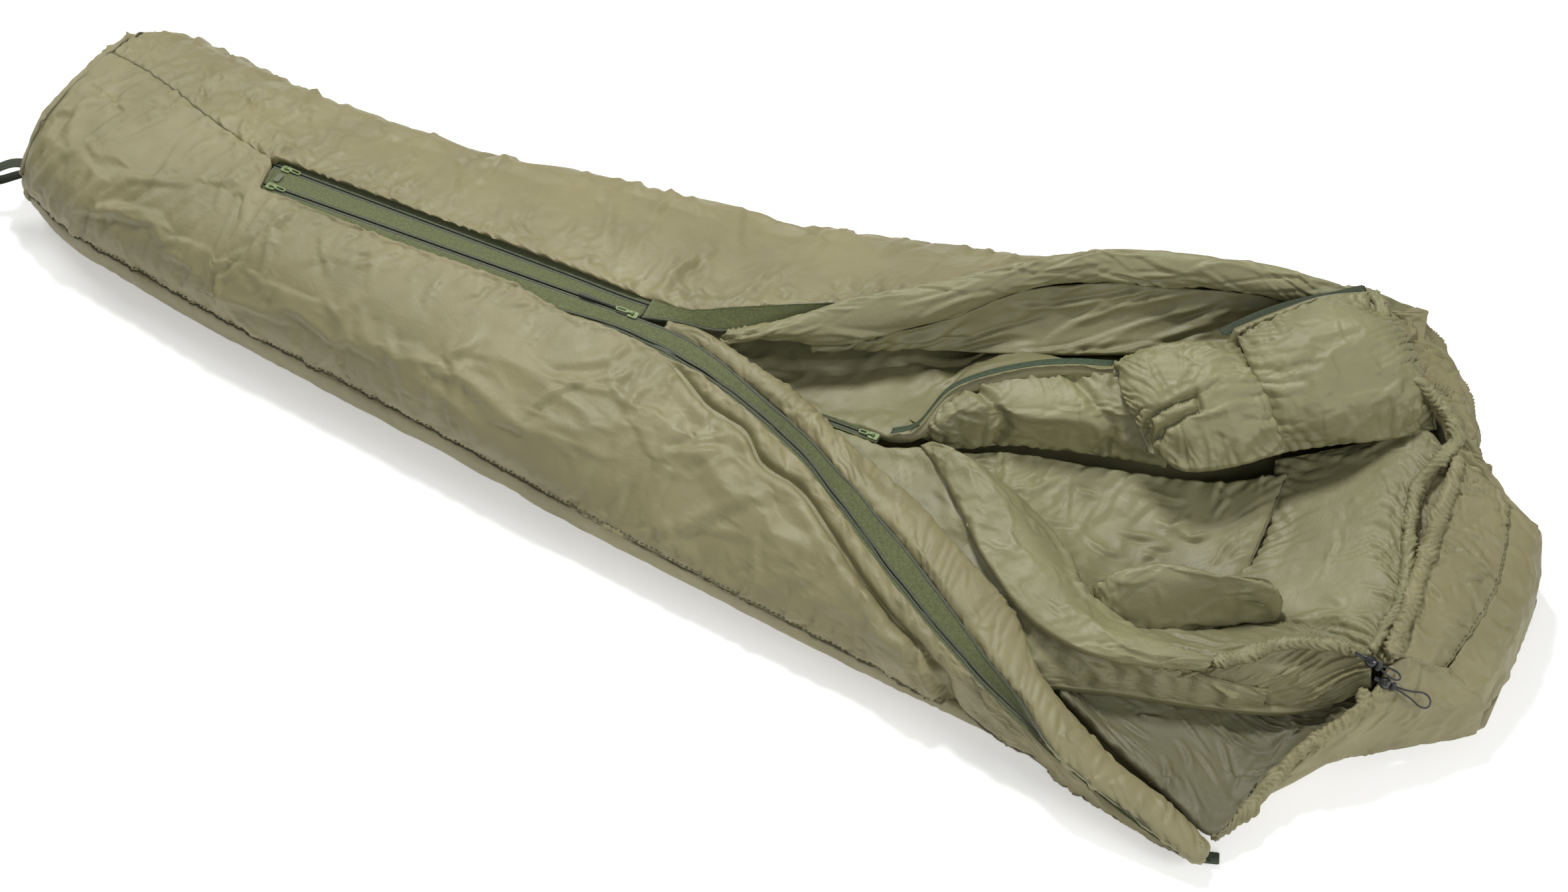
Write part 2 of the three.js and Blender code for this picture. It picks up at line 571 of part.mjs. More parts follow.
// ---------- hood ----------
function hood() {
  addMesh('hood_back_panel', patch([
    [[1070, -14, 126], [1076, 60, 138], [1080, 120, 148], [1072, 180, 158], [1056, 236, 168]],
    [[1044, -18, 138], [1044, 60, 150], [1046, 120, 160], [1042, 180, 170], [1030, 250, 178]],
    [[1016, -22, 142], [1013, 60, 154], [1014, 124, 162], [1012, 190, 172], [1004, 264, 184]],
  ], HOOD_T, 6, 4), SHELL_OLIVE);
  addMesh('hood_crown_panel', patch([
    [[1126, -4, 36], [1140, 70, 36], [1138, 140, 36], [1124, 206, 36], [1100, 254, 36]],
    [[1114, -8, 92], [1122, 62, 100], [1124, 126, 108], [1112, 192, 116], [1088, 244, 124]],
    [[1079, -13, 119], [1085, 60, 131], [1089, 120, 141], [1081, 181, 151], [1064, 238, 160]],
  ], HOOD_T, 6, 4), SHELL_OLIVE);
  addMesh('hood_near_panel', patch([
    [[936, -216, 40], [1006, -142, 40], [1056, -96, 38], [1116, -46, 36]],
    [[954, -208, 50], [1014, -132, 82], [1058, -78, 94], [1108, -38, 82]],
    [[972, -198, 62], [1008, -118, 100], [1014, -44, 124], [1066, -26, 118]],
  ], HOOD_T, 6, 4), SHELL_OLIVE);
  addMesh('hood_far_panel', patch([
    [[1090, 274, 38], [1030, 338, 42], [962, 430, 42], [890, 498, 42]],
    [[1080, 268, 110], [1018, 338, 122], [956, 424, 124], [888, 494, 126]],
    [[1050, 252, 166], [1002, 322, 170], [948, 408, 172], [880, 480, 180]],
  ], HOOD_T, 6, 4), SHELL_OLIVE);
}

// ---------- zips ----------
const CLOSED = [-705, -560, -420, -280, -240, -190, -140, -100];
const OPEN = [-70, -30, 20, 80, 140, 200, 260, 320, 380, 450, 520, 580, 640, 700, 780, 862];

function coil(name, stations, line, toward) {
  // One row of coil along a tape's edge, under the tape, which runs from line towards another line.
  const drop = TAPE / 2 + COIL_GAP + COIL_H / 2;
  const side = toward(stations[0])[0] < line(stations[0])[0] ? 1 : -1;
  const place = (x, across) => {
    const [y, z] = line(x);
    const [ty, tz] = toward(x);
    const size = Math.hypot(ty - y, tz - z);
    const [dy, dz] = [(ty - y) / size, (tz - z) / size];
    return [y + dy * across - side * dz * drop, z + dz * across + side * dy * drop];
  };
  const edges = [(x) => place(x, 0), (x) => place(x, COIL_W)];
  if (edges[1](stations[0])[0] < edges[0](stations[0])[0]) edges.reverse();
  addMesh(name, ribbon(stations, edges[0], edges[1], COIL_H), COIL_GREEN);
}

function zips() {
  const chainA = (x) => smooth(CHAIN_A, x);
  const shift = (line, dy, dz = 0) => (x) => {
    const [y, z] = line(x);
    return [y + dy, z + dz];
  };
  addMesh('zip_tape_far_edge', ribbon([...CLOSED, -60], shift(chainA, CHAIN_GAP),
    (x) => [chainA(x)[0] + 12, chainA(x)[1]], TAPE), TAPE_GREEN);
  addMesh('zip_tape_far_band', ribbon(CLOSED, bFar, shift(chainA, -CHAIN_GAP), TAPE), TAPE_GREEN);
  addMesh('zip_tape_far_open', ribbon([-60, -20, 30, 80, 130, 184], bFar, (x) => {
    const [y, z] = bFar(x);
    return [y + 5, z - 15];
  }, TAPE), TAPE_GREEN);
  const nearBand = ribbon([...CLOSED, ...OPEN], shift(chainC, CHAIN_GAP), bNear, TAPE);
  addMesh('zip_tape_near_band', nearBand, TAPE_GREEN);
  coil('zip_coil_a_far', CLOSED, shift(chainA, CHAIN_GAP), shift(chainA, 10));
  coil('zip_coil_a_near', CLOSED, shift(chainA, -CHAIN_GAP), shift(chainA, -10));
  coil('zip_coil_b_far', CLOSED, bFar, shift(bFar, 10));
  coil('zip_coil_b_near', [...CLOSED, ...OPEN], bNear, shift(chainC, CHAIN_GAP));
  coil('zip_coil_c', [...CLOSED, ...OPEN], shift(chainC, CHAIN_GAP), bNear);
}

function asManifold(geometry) {
  const plain = geometry.clone();
  plain.deleteAttribute('normal');
  plain.deleteAttribute('uv');
  const merged = mergeVertices(plain, 1e-4);
  return new wasm.Manifold(new wasm.Mesh({
    numProp: 3, vertProperties: merged.attributes.position.array, triVerts: merged.index.array,
  }));
}

function asGeometry(solid) {
  const mesh = solid.getMesh();
  const geometry = new THREE.BufferGeometry();
  geometry.setAttribute('position', new THREE.BufferAttribute(new Float32Array(mesh.vertProperties), 3));
  geometry.setIndex(new THREE.BufferAttribute(new Uint32Array(mesh.triVerts), 1));
  geometry.computeVertexNormals();
  return geometry;
}

function roundedPlate(length, width, radius, thickness, z) {
  const shape = new THREE.Shape();
  const [a, b] = [length / 2, width / 2];
  shape.moveTo(-a + radius, -b);
  shape.lineTo(a - radius, -b);
  shape.absarc(a - radius, -b + radius, radius, -Math.PI / 2, 0);
  shape.absarc(a - radius, b - radius, radius, 0, Math.PI / 2);
  shape.absarc(-a + radius, b - radius, radius, Math.PI / 2, Math.PI);
  shape.absarc(-a + radius, -b + radius, radius, Math.PI, 1.5 * Math.PI);
  const plate = new THREE.ExtrudeGeometry(shape, { depth: thickness, bevelEnabled: false, curveSegments: 3 });
  plate.translate(0, 0, z);
  return plate;
}

function block(x, y, z, cx, cy, cz) {
  return new THREE.BoxGeometry(x, y, z).translate(cx, cy, cz);
}

const SLIDER_L = 15;           // slider length along the chain
const SLIDER_W = 11.6;         // slider width
const PLATE_T = 1.3;           // thickness of its two plates
const TOP_Z = 1.2;             // underside of its top plate above the tape's centre
const LOW_Z = -TAPE / 2 - COIL_GAP - COIL_H - 0.4;   // top of its lower plate

const PIN_Z = TOP_Z + PLATE_T + 2.4;            // hinge pin of the pull
const PIN_R = 0.7;
const LUG_Y = 2.1;             // middle of each hinge lug

function rod(radius, length, axis) {
  // A short cylinder along Y or X, centred on the origin.
  const cylinder = new THREE.CylinderGeometry(radius, radius, length, 14);
  return axis === 'x' ? cylinder.rotateZ(Math.PI / 2) : cylinder;
}

function sliderBody() {
  // Two plates joined by the post between the rows of coil, side flanges, and lugs with a pin.
  const flangeH = -TAPE / 2 - 0.4 - LOW_Z;
  const flangeY = SLIDER_W / 2 - 0.5;
  const lugH = PIN_Z - TOP_Z;
  const pieces = [
    roundedPlate(SLIDER_L, SLIDER_W, 3, PLATE_T, TOP_Z),
    roundedPlate(SLIDER_L, SLIDER_W, 3, PLATE_T, LOW_Z - PLATE_T),
    block(3.4, 1, TOP_Z - LOW_Z + 1, -SLIDER_L / 2 + 3.4, 0, (TOP_Z + LOW_Z) / 2),
    rod(PIN_R, 2 * LUG_Y + 0.6, 'y').translate(0, 0, PIN_Z),
  ];
  for (const side of [-1, 1]) {
    pieces.push(block(SLIDER_L - 5, 1, flangeH + 0.5, 0, side * flangeY, LOW_Z + flangeH / 2 - 0.25));
    pieces.push(block(3.2, 1, lugH, 0, side * LUG_Y, TOP_Z + lugH / 2));
    pieces.push(rod(1.6, 1, 'y').translate(0, side * LUG_Y, PIN_Z));
  }
  return asGeometry(pieces.map(asManifold).reduce((sum, piece) => sum.add(piece)));
}

function pullTab(length) {
  // A flat oval pull with a slot through its handle and an eye on the slider's pin.
  const shape = new THREE.Shape();
  shape.moveTo(-1, -1.2);
  shape.lineTo(-6, -1.4);
  shape.lineTo(-9, -3.4);
  shape.lineTo(-length + 3.4, -3.4);
  shape.absarc(-length + 3.4, 0, 3.4, 1.5 * Math.PI, Math.PI / 2, true);
  shape.lineTo(-9, 3.4);
  shape.lineTo(-6, 1.4);
  shape.lineTo(-1, 1.2);
  const slot = new THREE.Path();
  slot.absarc(-length + 3.8, 0, 1.7, Math.PI / 2, 1.5 * Math.PI, false);
  slot.lineTo(-10, -1.7);
  slot.lineTo(-10, 1.7);
  shape.holes.push(slot);
  const plate = new THREE.ExtrudeGeometry(shape, { depth: 1.1, bevelEnabled: false, curveSegments: 4 });
  plate.translate(0, 0, -0.55);
  const eye = asManifold(plate).add(asManifold(rod(1.9, 2.4, 'y')));
  return asGeometry(eye.subtract(asManifold(rod(PIN_R + 0.3, 6, 'y'))));
}

function sliderSet(name, place, turn, pullLength, droop) {
  // A slider, its pull lying back over the chain and drooping towards it.
  const group = new THREE.Group();
  group.position.set(...place);
  group.rotation.z = turn;
  const body = addMesh(`${name}_slider`, sliderBody(), SLIDER_GREEN, 0.4, 0.5);
  const pull = addMesh(`${name}_pull`, pullTab(pullLength), SLIDER_GREEN, 0.4, 0.5);
  pull.position.z = PIN_Z;
  pull.rotation.y = -droop;
  group.add(body, pull);
  return group;
}

// ---------- inner zip, binding, webbing ----------
const INNER_ZIP = [[60, 4, 112], [262, 4, 120]];
const INNER_RUN = [60, 110, 160, 210, 262];

function innerZip() {
  const line = (x) => smooth(INNER_ZIP, x);
  for (const [side, word] of [[-1, 'near'], [1, 'far']]) {
    const edge = (x) => [line(x)[0] + side * CHAIN_GAP, line(x)[1]];
    const out = (x) => [line(x)[0] + side * 7.5, line(x)[1]];
    addMesh(`inner_zip_tape_${word}`, side < 0 ? ribbon(INNER_RUN, out, edge, TAPE)
      : ribbon(INNER_RUN, edge, out, TAPE), TAPE_GREEN);
    coil(`inner_zip_coil_${word}`, INNER_RUN, edge, out);
  }
  addMesh('inner_zip_binding', ribbon([300, 325, 350, 380, 410, 445, 480, 505], (x) => {
    const [y, z] = smooth(INNER_FAR_EDGE, x);
    return [y - 11, z + 1];
  }, (x) => {
    const [y, z] = smooth(INNER_FAR_EDGE, x);
    return [y - 1, z + 5];
  }, 1.4), WEBBING_GREEN);
}

function webbing() {
  addMesh('head_strap', patch([
    [[642, 292, 262], [700, 358, 274], [782, 448, 270]],
    [[632, 300, 258], [690, 367, 270], [772, 458, 266]],
  ], 1.4, 6, 1), WEBBING_GREEN);
  addMesh('foot_hang_loop', hangLoop(), WEBBING_GREEN);
  addMesh('flap_corner_tab', new THREE.ExtrudeGeometry(foldedTab(22, 6), { depth: 14, bevelEnabled: false })
    .rotateX(Math.PI / 2).rotateZ(0.35).translate(874, -330, 4), WEBBING_GREEN);
  addMesh('zip_foot_stop', roundedPlate(9, 16, 3, 1.6, 0).translate(-692, -8, ZIP_Z + 1), WEBBING_GREEN);
  // The facing that the closed sliders are parked on, under the edges of both panels.
  const corners = [[-766, 8], [-724, -40], [-724, 20], [-766, 20]];
  const facing = new THREE.Shape(corners.map((p) => new THREE.Vector2(...p)));
  addMesh('zip_garage', new THREE.ExtrudeGeometry(facing, { depth: 3, bevelEnabled: false })
    .translate(0, 0, 179.5), SHELL_OLIVE);
}

function foldedTab(length, height) {
  // The side of a strip folded in two.
  const shape = new THREE.Shape();
  shape.moveTo(0, 0);
  shape.lineTo(length, 0);
  shape.absarc(length, height / 2, height / 2, -Math.PI / 2, Math.PI / 2);
  shape.lineTo(0, height);
  return shape;
}

function hangLoop() {
  // A loop of webbing, its two ends sewn together at the bag: drawn from the side, then given width.
  const shape = foldedTab(40, 13);
  const gap = new THREE.Path();
  gap.moveTo(6, 1.6);
  gap.lineTo(6, 11.4);
  gap.lineTo(40, 11.4);
  gap.absarc(40, 6.5, 4.9, Math.PI / 2, -Math.PI / 2, true);
  shape.holes.push(gap);
  return new THREE.ExtrudeGeometry(shape, { depth: 20, bevelEnabled: false, curveSegments: 5 })
    .rotateX(Math.PI / 2).rotateZ(Math.PI + 0.45).translate(-1128, -74, 62);
}

// ---------- hood cord locks ----------
const CORD_LOCKS = [
  { name: 'upper', ball: [979, -60, 145], turn: 0.05, tilt: 0.3, tail: 23, reach: 42, wide: 6.5 },
  { name: 'lower', ball: [1004, -70, 128], turn: 0.13, tilt: 0.26, tail: 14, reach: 62, wide: 11 },
];
const STRAND = 1.5;            // half the distance between a loop's two strands

function cordLocks() {
  for (const { name, ball, turn, tilt, tail, reach, wide } of CORD_LOCKS) {
    const group = new THREE.Group();
    group.position.set(...ball);
    group.rotation.set(0, tilt, turn, 'ZYX');
    const bore = asManifold(rod(3.2, 40, 'x'));
    const sphere = new THREE.SphereGeometry(BALL_R, 18, 12);
    const knotProfile = spread(0, 2 * Math.PI, 8).map((a) => new THREE.Vector2(4.9 + 1.6 * Math.cos(a),
      2.6 * Math.sin(a)));
    const knot = new THREE.LatheGeometry(knotProfile, 12).rotateZ(Math.PI / 2);
    group.add(addMesh(`cord_lock_${name}`, asGeometry(asManifold(sphere).subtract(bore)), BLACK, 0.35));
    const knotMesh = addMesh(`cord_knot_${name}`, asGeometry(asManifold(knot)), BLACK, 0.8);
    knotMesh.position.x = BALL_R + 3.5;
    // Half of the loop, from inside the channel to its far end; the other half mirrors it.
    const half = [[-tail, STRAND], [-tail / 2, STRAND], [-2, STRAND], [6, STRAND], [14, STRAND],
      [reach - 24, wide * 0.55], [reach - 11, wide], [reach - 3, wide * 0.75]];
    const back = half.map(([x, y]) => [x, -y]).reverse();
    const loop = [...half, [reach, 0], ...back].map(([x, y]) => new THREE.Vector3(x, y, 0));
    const route = new THREE.CatmullRomCurve3(loop, false, 'centripetal');
    const section = new THREE.Shape();
    section.absarc(0, 0, CORD_D / 2, 0, 2 * Math.PI);
    const cord = new THREE.ExtrudeGeometry(section, { steps: 26, extrudePath: route, curveSegments: 4 });
    group.add(knotMesh, addMesh(`hood_cord_${name}`, cord, BLACK, 0.8));
    groups.push(group);
  }
}

function mainPullCord() {
  // The main slider's long pull: a cord with a moulded end, lying back along the chain.
  const profile = [[0, 0], [1.3, 0], [1.3, 28], [2.6, 31], [3, 52], [1.6, 56], [0, 56]]
    .map(([r, h]) => new THREE.Vector2(r, h));
  return new THREE.LatheGeometry(profile, 10).rotateZ(Math.PI / 2);
}

outerBag();
flaps();
innerBag();
innerPads();
channels();
hood();
zips();
innerZip();
webbing();
cordLocks();
const CHAIN_A_TURN = Math.atan2(8, 605);
const CHAIN_B_TURN = Math.atan2(21.2, 605);
const DROOP = 0.1;             // radians that a pull drops from level
groups.push(sliderSet('foot_a', [-692, 12.2, ZIP_Z], CHAIN_A_TURN + Math.PI, 24, DROOP));
groups.push(sliderSet('foot_b', [-692, -26.7, ZIP_Z], CHAIN_B_TURN + Math.PI, 24, DROOP));
const main = sliderSet('main', [-110, -6.4, ZIP_Z], CHAIN_B_TURN, 26, 0);
const mainCord = addMesh('main_pull_cord', mainPullCord(), BLACK, 0.7);
mainCord.position.set(-27, 0, PIN_Z);
main.add(mainCord);
groups.push(main);
const inner = sliderSet('inner', [254, 4, smooth(INNER_ZIP, 254)[1]], 0, 22, DROOP);
inner.rotation.y = -Math.atan2(8, 202);
groups.push(inner);

const assembly = new THREE.Group();
meshes.filter((mesh) => !mesh.parent).forEach((mesh) => assembly.add(mesh));
groups.forEach((group) => assembly.add(group));
assembly.position.set(...ORIGIN).negate();

export default assembly;
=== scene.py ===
"""A two-layer mummy sleeping bag, lying half open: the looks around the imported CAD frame."""

import itertools
import math

import bmesh
import bpy
import numpy as np
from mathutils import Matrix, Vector


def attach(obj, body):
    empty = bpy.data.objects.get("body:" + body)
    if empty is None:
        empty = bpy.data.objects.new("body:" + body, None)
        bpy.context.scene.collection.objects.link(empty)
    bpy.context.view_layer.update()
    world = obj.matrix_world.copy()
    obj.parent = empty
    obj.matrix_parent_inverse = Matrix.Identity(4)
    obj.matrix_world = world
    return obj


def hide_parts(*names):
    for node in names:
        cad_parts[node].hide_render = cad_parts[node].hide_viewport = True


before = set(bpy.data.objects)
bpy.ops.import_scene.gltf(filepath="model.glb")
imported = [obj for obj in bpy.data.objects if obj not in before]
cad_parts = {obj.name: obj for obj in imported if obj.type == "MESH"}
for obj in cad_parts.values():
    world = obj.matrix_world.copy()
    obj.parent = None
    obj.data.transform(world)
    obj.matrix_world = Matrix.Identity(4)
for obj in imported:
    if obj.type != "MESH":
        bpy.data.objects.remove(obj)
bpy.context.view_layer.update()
scene = bpy.context.scene

# ---- Driving sizes, in millimetres ----
# The tables are about the bag's drawing point, with X first. INNER, INNER_CREST, INNER_ZIP, the
# chains, B_NEAR, B_FAR and CENTRE_SEAM are the CAD part's own; the others follow the photo closer.
MM = 0.001
SHIFT = np.array([18.9, -75.6, 0.0])     # from the tables' coordinates to the frame's
FOOT_X = -1095.0                         # seam between the foot end cap and the long panels
SHELL = 20.0                             # thickness of the outer bag's padding
LAYER_GAP = 5.0                          # air between the two bags
LINER = 16.0                             # thickness of the inner bag's padding
HOOD_T = 8.0                             # thickness of the hood's panels
SEAM_GAP = 0.6                           # between two panels that meet in a seam
EDGE_R = 58.0                            # rounding of the lower edge
PANEL_START, PANEL_END = -1094, 862      # ends of the outer shell along X
BAND_START = -712                        # foot end of the double zip
BAND_SPLIT = -100                        # where the two bands of the zip part
ROUNDNESS = 2.4                          # exponent of the top's superellipse
ZIP_Z = 190.0                            # height of the closed zip's tape
CHAIN_GAP = 0.9                          # from a chain's centre to its tapes
CORD_D = 2.6                             # elastic hood cord

BODY = [
    [-1120, 66, 155, 150, 62], [-1095, 68, 178, 166, 66], [-1000, 50, 202, 186, 74],
    [-850, 27, 206, 197, 78], [-700, 12, 212, 204, 80], [-500, 6, 226, 207, 80],
    [-300, 13, 254, 207, 80], [-100, 24, 288, 202, 78], [100, 42, 324, 192, 74],
    [300, 52, 348, 180, 66], [500, 64, 372, 170, 54], [600, 74, 382, 165, 46],
    [700, 84, 392, 160, 38], [800, 92, 402, 155, 32], [870, 100, 410, 150, 28], [930, 122, 338, 140, 32],
    [1000, 118, 230, 120, 36], [1050, 112, 180, 100, 34], [1100, 112, 154, 80, 32], [1132, 114, 116, 60, 30],
]
INNER = [
    [-1070, 61, 156, 138, 72], [-1000, 48, 178, 157, 76], [-850, 25, 189, 170, 80],
    [-700, 8, 197, 177, 82], [-500, 0, 213, 180, 82], [-300, 8, 239, 180, 82], [-160, 17, 258, 172, 80],
    [-50, 26, 272, 140, 74], [60, 41, 287, 118, 68], [275, 55, 314, 126, 66], [500, 75, 325, 140, 66],
    [600, 95, 325, 140, 66], [700, 120, 315, 140, 66], [800, 140, 305, 140, 66],
    [900, 138, 262, 130, 64], [960, 140, 218, 120, 62], [985, 128, 186, 110, 60],
]
CHAIN_A = [[-705, 12, 190], [-240, 18.15, 190], [-100, 20, 190], [-30, 34, 192], [60, 78, 196]]
CHAIN_B = [[-705, -27.2, 190], [-100, -6, 190]]
CHAIN_C = [
    [-705, -58, 188], [-450, -60, 188], [-250, -50, 188], [-130, -36, 188], [10, -44, 184],
    [90, -64, 176], [200, -104, 168], [320, -172, 153], [450, -243, 132], [550, -287, 112],
    [620, -308, 94], [670, -319, 78], [780, -336, 42], [866, -346, 20],
]
B_NEAR = [
    [-100, -6.9, 190], [-20, -8, 189], [70, -34, 185], [190, -80, 180], [300, -130, 168],
    [410, -186, 152], [470, -221, 142], [540, -262, 130], [600, -293, 118], [670, -333, 101],
    [780, -352, 63], [866, -360, 38],
]
B_FAR = [
    [-100, -5.1, 190], [-60, 22, 194], [0, 64, 201], [80, 106, 210], [180, 150, 219],
    [280, 246, 222], [380, 345, 222], [540, 428, 222], [720, 468, 218], [840, 486, 196],
]
DRAFT_EDGE = [
    [-60, 8, 188], [-4, 11, 187], [75, -3, 182], [169, -31, 175], [261, -72, 164],
    [320, -86, 154], [373, -100, 146], [472, -140, 132], [549, -180, 118], [610, -240, 108],
    [723, -292, 78], [822, -312, 52], [886, -336, 30],
]
NEAR_CREASE = [
    [-60, -42], [-10, -60], [50, -90], [113, -103], [157, -136], [223, -152], [291, -194],
    [377, -247], [460, -284], [560, -322], [620, -340],
]
FAR_EDGE = [
    [-100, 30, 197], [-49, 37, 195], [13, 70, 199], [76, 104, 203], [126, 130, 206], [173, 156, 208],
    [230, 200, 210], [311, 268, 212], [400, 328, 214], [515, 384, 214], [650, 428, 212],
    [775, 460, 206], [862, 482, 184],
]
FAR_TAPE_LOW = [
    [-100, -5, 189], [-55, 12, 185], [1, 34, 172], [40, 60, 175], [86, 88, 184], [126, 112, 190],
    [190, 160, 200],
]
ROLL_TOP = [
    [10, 28, 178], [50, 46, 186], [89, 78, 196], [132, 116, 206], [174, 151, 214], [257, 215, 222],
    [347, 292, 230], [429, 354, 236], [513, 388, 240], [583, 410, 242], [653, 431, 240],
    [726, 441, 236], [775, 462, 228], [856, 480, 200],
]
ROLL_LOW = [
    [10, 27, 168], [90, 61, 168], [162, 91, 166], [219, 136, 178], [276, 182, 188], [352, 269, 202],
    [443, 329, 206], [545, 369, 208], [630, 400, 208], [702, 417, 202], [856, 442, 178],
]
INNER_CREST = [
    [275, -2, 128], [330, 12, 138], [410, -22, 138], [460, -68, 132], [520, -110, 128],
    [580, -140, 122], [650, -160, 118], [740, -148, 110], [810, -136, 102], [880, -122, 96],
]
INNER_FAR_EDGE = [
    [275, 14, 128], [306, 36, 140], [320, 84, 160], [353, 119, 176], [411, 160, 189],
    [460, 186, 194], [514, 206, 198], [600, 256, 196], [700, 306, 188], [800, 352, 186], [880, 380, 176],
]
LINING_LOW = [
    [120, 80, 158], [155, 106, 150], [217, 143, 140], [280, 178, 135], [378, 223, 135],
    [474, 272, 135], [600, 338, 138], [750, 396, 132], [856, 436, 120],
]
CENTRE_SEAM = [[-1095, 128], [-1060, 118], [-960, 88], [-860, 54], [-790, 32], [-720, 14]]
INNER_ZIP = [[60, 4, 112], [262, 4, 120]]

# ---- Small mathematics ----


def smooth(table, x):
    """Cubic through the rows of a table whose first column is x, as part.mjs has it."""
    last = len(table) - 1
    i = 0
    while i < last - 1 and x > table[i + 1][0]:
        i += 1
    a, b = np.array(table[i], float), np.array(table[i + 1], float)
    span = b[0] - a[0]
    t = min(1.0, max(0.0, (x - a[0]) / span))

    def slope(k):
        low, high = np.array(table[max(0, k - 1)], float), np.array(table[min(last, k + 1)], float)
        return (high[1:] - low[1:]) / (high[0] - low[0]) * span

    return (a[1:] * (2 * t**3 - 3 * t**2 + 1) + slope(i) * (t**3 - 2 * t**2 + t)
            + b[1:] * (3 * t**2 - 2 * t**3) + slope(i + 1) * (t**3 - t**2))


def through(points, at):
    """Places on a smooth curve through points, where at counts from one point to the next."""
    table = [[k, *p] for k, p in enumerate(points)]
    return np.stack([smooth(table, k) for k in at])


def mix(a, b, t):
    return a + (b - a) * t


def ease(x, start, end):
    """0 before start, 1 after end, smooth between."""
    t = np.clip((np.asarray(x, float) - start) / (end - start), 0, 1)
    return t * t * (3 - 2 * t)


def unit(vectors):
    """The same directions, one long."""
    return vectors / np.linalg.norm(vectors, axis=-1, keepdims=True)


def round_angles(count):
    """Angles at equal steps round a circle."""
    return np.linspace(0, 2 * math.pi, count + 1)[:-1]


def steps(start, end, size):
    return np.linspace(start, end, max(2, int(round((end - start) / size)) + 1))


def noise(points, seed):
    """Smooth lattice noise in -1..1 at an array of points whose cells are one unit wide."""
    cell = np.floor(points).astype(np.int64)
    part = points - cell
    part = part * part * part * (part * (part * 6 - 15) + 10)
    total = np.zeros(points.shape[:-1])
    for corner in itertools.product((0, 1), repeat=points.shape[-1]):
        mixed = np.full(points.shape[:-1], seed * 7919 + 17, np.int64)
        weight = np.ones(points.shape[:-1])
        for axis, (step, prime) in enumerate(zip(corner, (73856093, 19349663, 83492791))):
            mixed ^= (cell[..., axis] + step) * prime
            weight = weight * (part[..., axis] if step else 1 - part[..., axis])
        mixed = (mixed ^ (mixed >> 13)) * 1274126177
        mixed = (mixed ^ (mixed >> 16)) & 0xFFFF
        total += weight * (mixed / 32767.5 - 1)
    return total


def billows(points, size, seed):
    """Broad soft swelling, with two finer octaves."""
    return (noise(points / size, seed) + 0.5 * noise(points / size * 2.1, seed + 1)
            + 0.25 * noise(points / size * 4.3, seed + 2)) / 1.75


def creases(across, along, spacing, seed):
    """0 on full cloth, down to -1 in narrow valleys that run along the second coordinate."""
    lanes = noise(np.stack([across / spacing, along / (spacing * 5)], -1), seed)
    depth = 0.55 + 0.45 * noise(np.stack([across / spacing / 2.7, along / (spacing * 7)], -1), seed + 5)
    return -depth * np.clip(1 - np.abs(lanes) * 2.6, 0, 1) ** 1.5


# ---- Grids of points: [row along the piece, column across it, xyz] ----


def normals(grid, ring=False):
    along = np.gradient(grid, axis=0)
    if ring:
        across = (np.roll(grid, -1, 1) - np.roll(grid, 1, 1)) / 2
    else:
        across = np.gradient(grid, axis=1)
    n = np.cross(along, across)
    return n / np.maximum(np.linalg.norm(n, axis=-1, keepdims=True), 1e-9)


def upward(grid):
    """Directions out of a grid on its upper side."""
    n = normals(grid)
    return n * np.sign(n[..., 2].sum())


def lengths(grid, axis):
    """Distance travelled along an axis of the grid."""
    step = np.linalg.norm(np.diff(grid, axis=axis), axis=-1)
    zero = np.zeros_like(np.take(step, [0], axis))
    return np.concatenate([zero, np.cumsum(step, axis)], axis)


def refine(grid, ring=False):
    """The same surface with twice the points along each direction, through a cubic."""
    def finer(values, closed):
        count = len(values)
        if closed:
            at = np.arange(count * 2) / 2
            pick = lambda k: values[k % count]
        else:
            at = np.linspace(0, count - 1, (count - 1) * 2 + 1)
            pick = lambda k: values[np.clip(k, 0, count - 1)]
        k = np.floor(at).astype(int) if closed else np.minimum(np.floor(at).astype(int), count - 2)
        t = (at - k)[:, None, None]
        p0, p1, p2, p3 = pick(k - 1), pick(k), pick(k + 1), pick(k + 2)
        square = 2 * p0 - 5 * p1 + 4 * p2 - p3
        cube = 3 * (p1 - p2) + p3 - p0
        return p1 + 0.5 * t * (p2 - p0 + t * (square + t * cube))
    rows = finer(grid, False)
    return finer(rows.transpose(1, 0, 2), ring).transpose(1, 0, 2)


def quads(rows, cols, wide):
    return [(i * cols + j, i * cols + (j + 1) % cols, (i + 1) * cols + (j + 1) % cols, (i + 1) * cols + j)
            for i in range(rows - 1) for j in range(wide)]


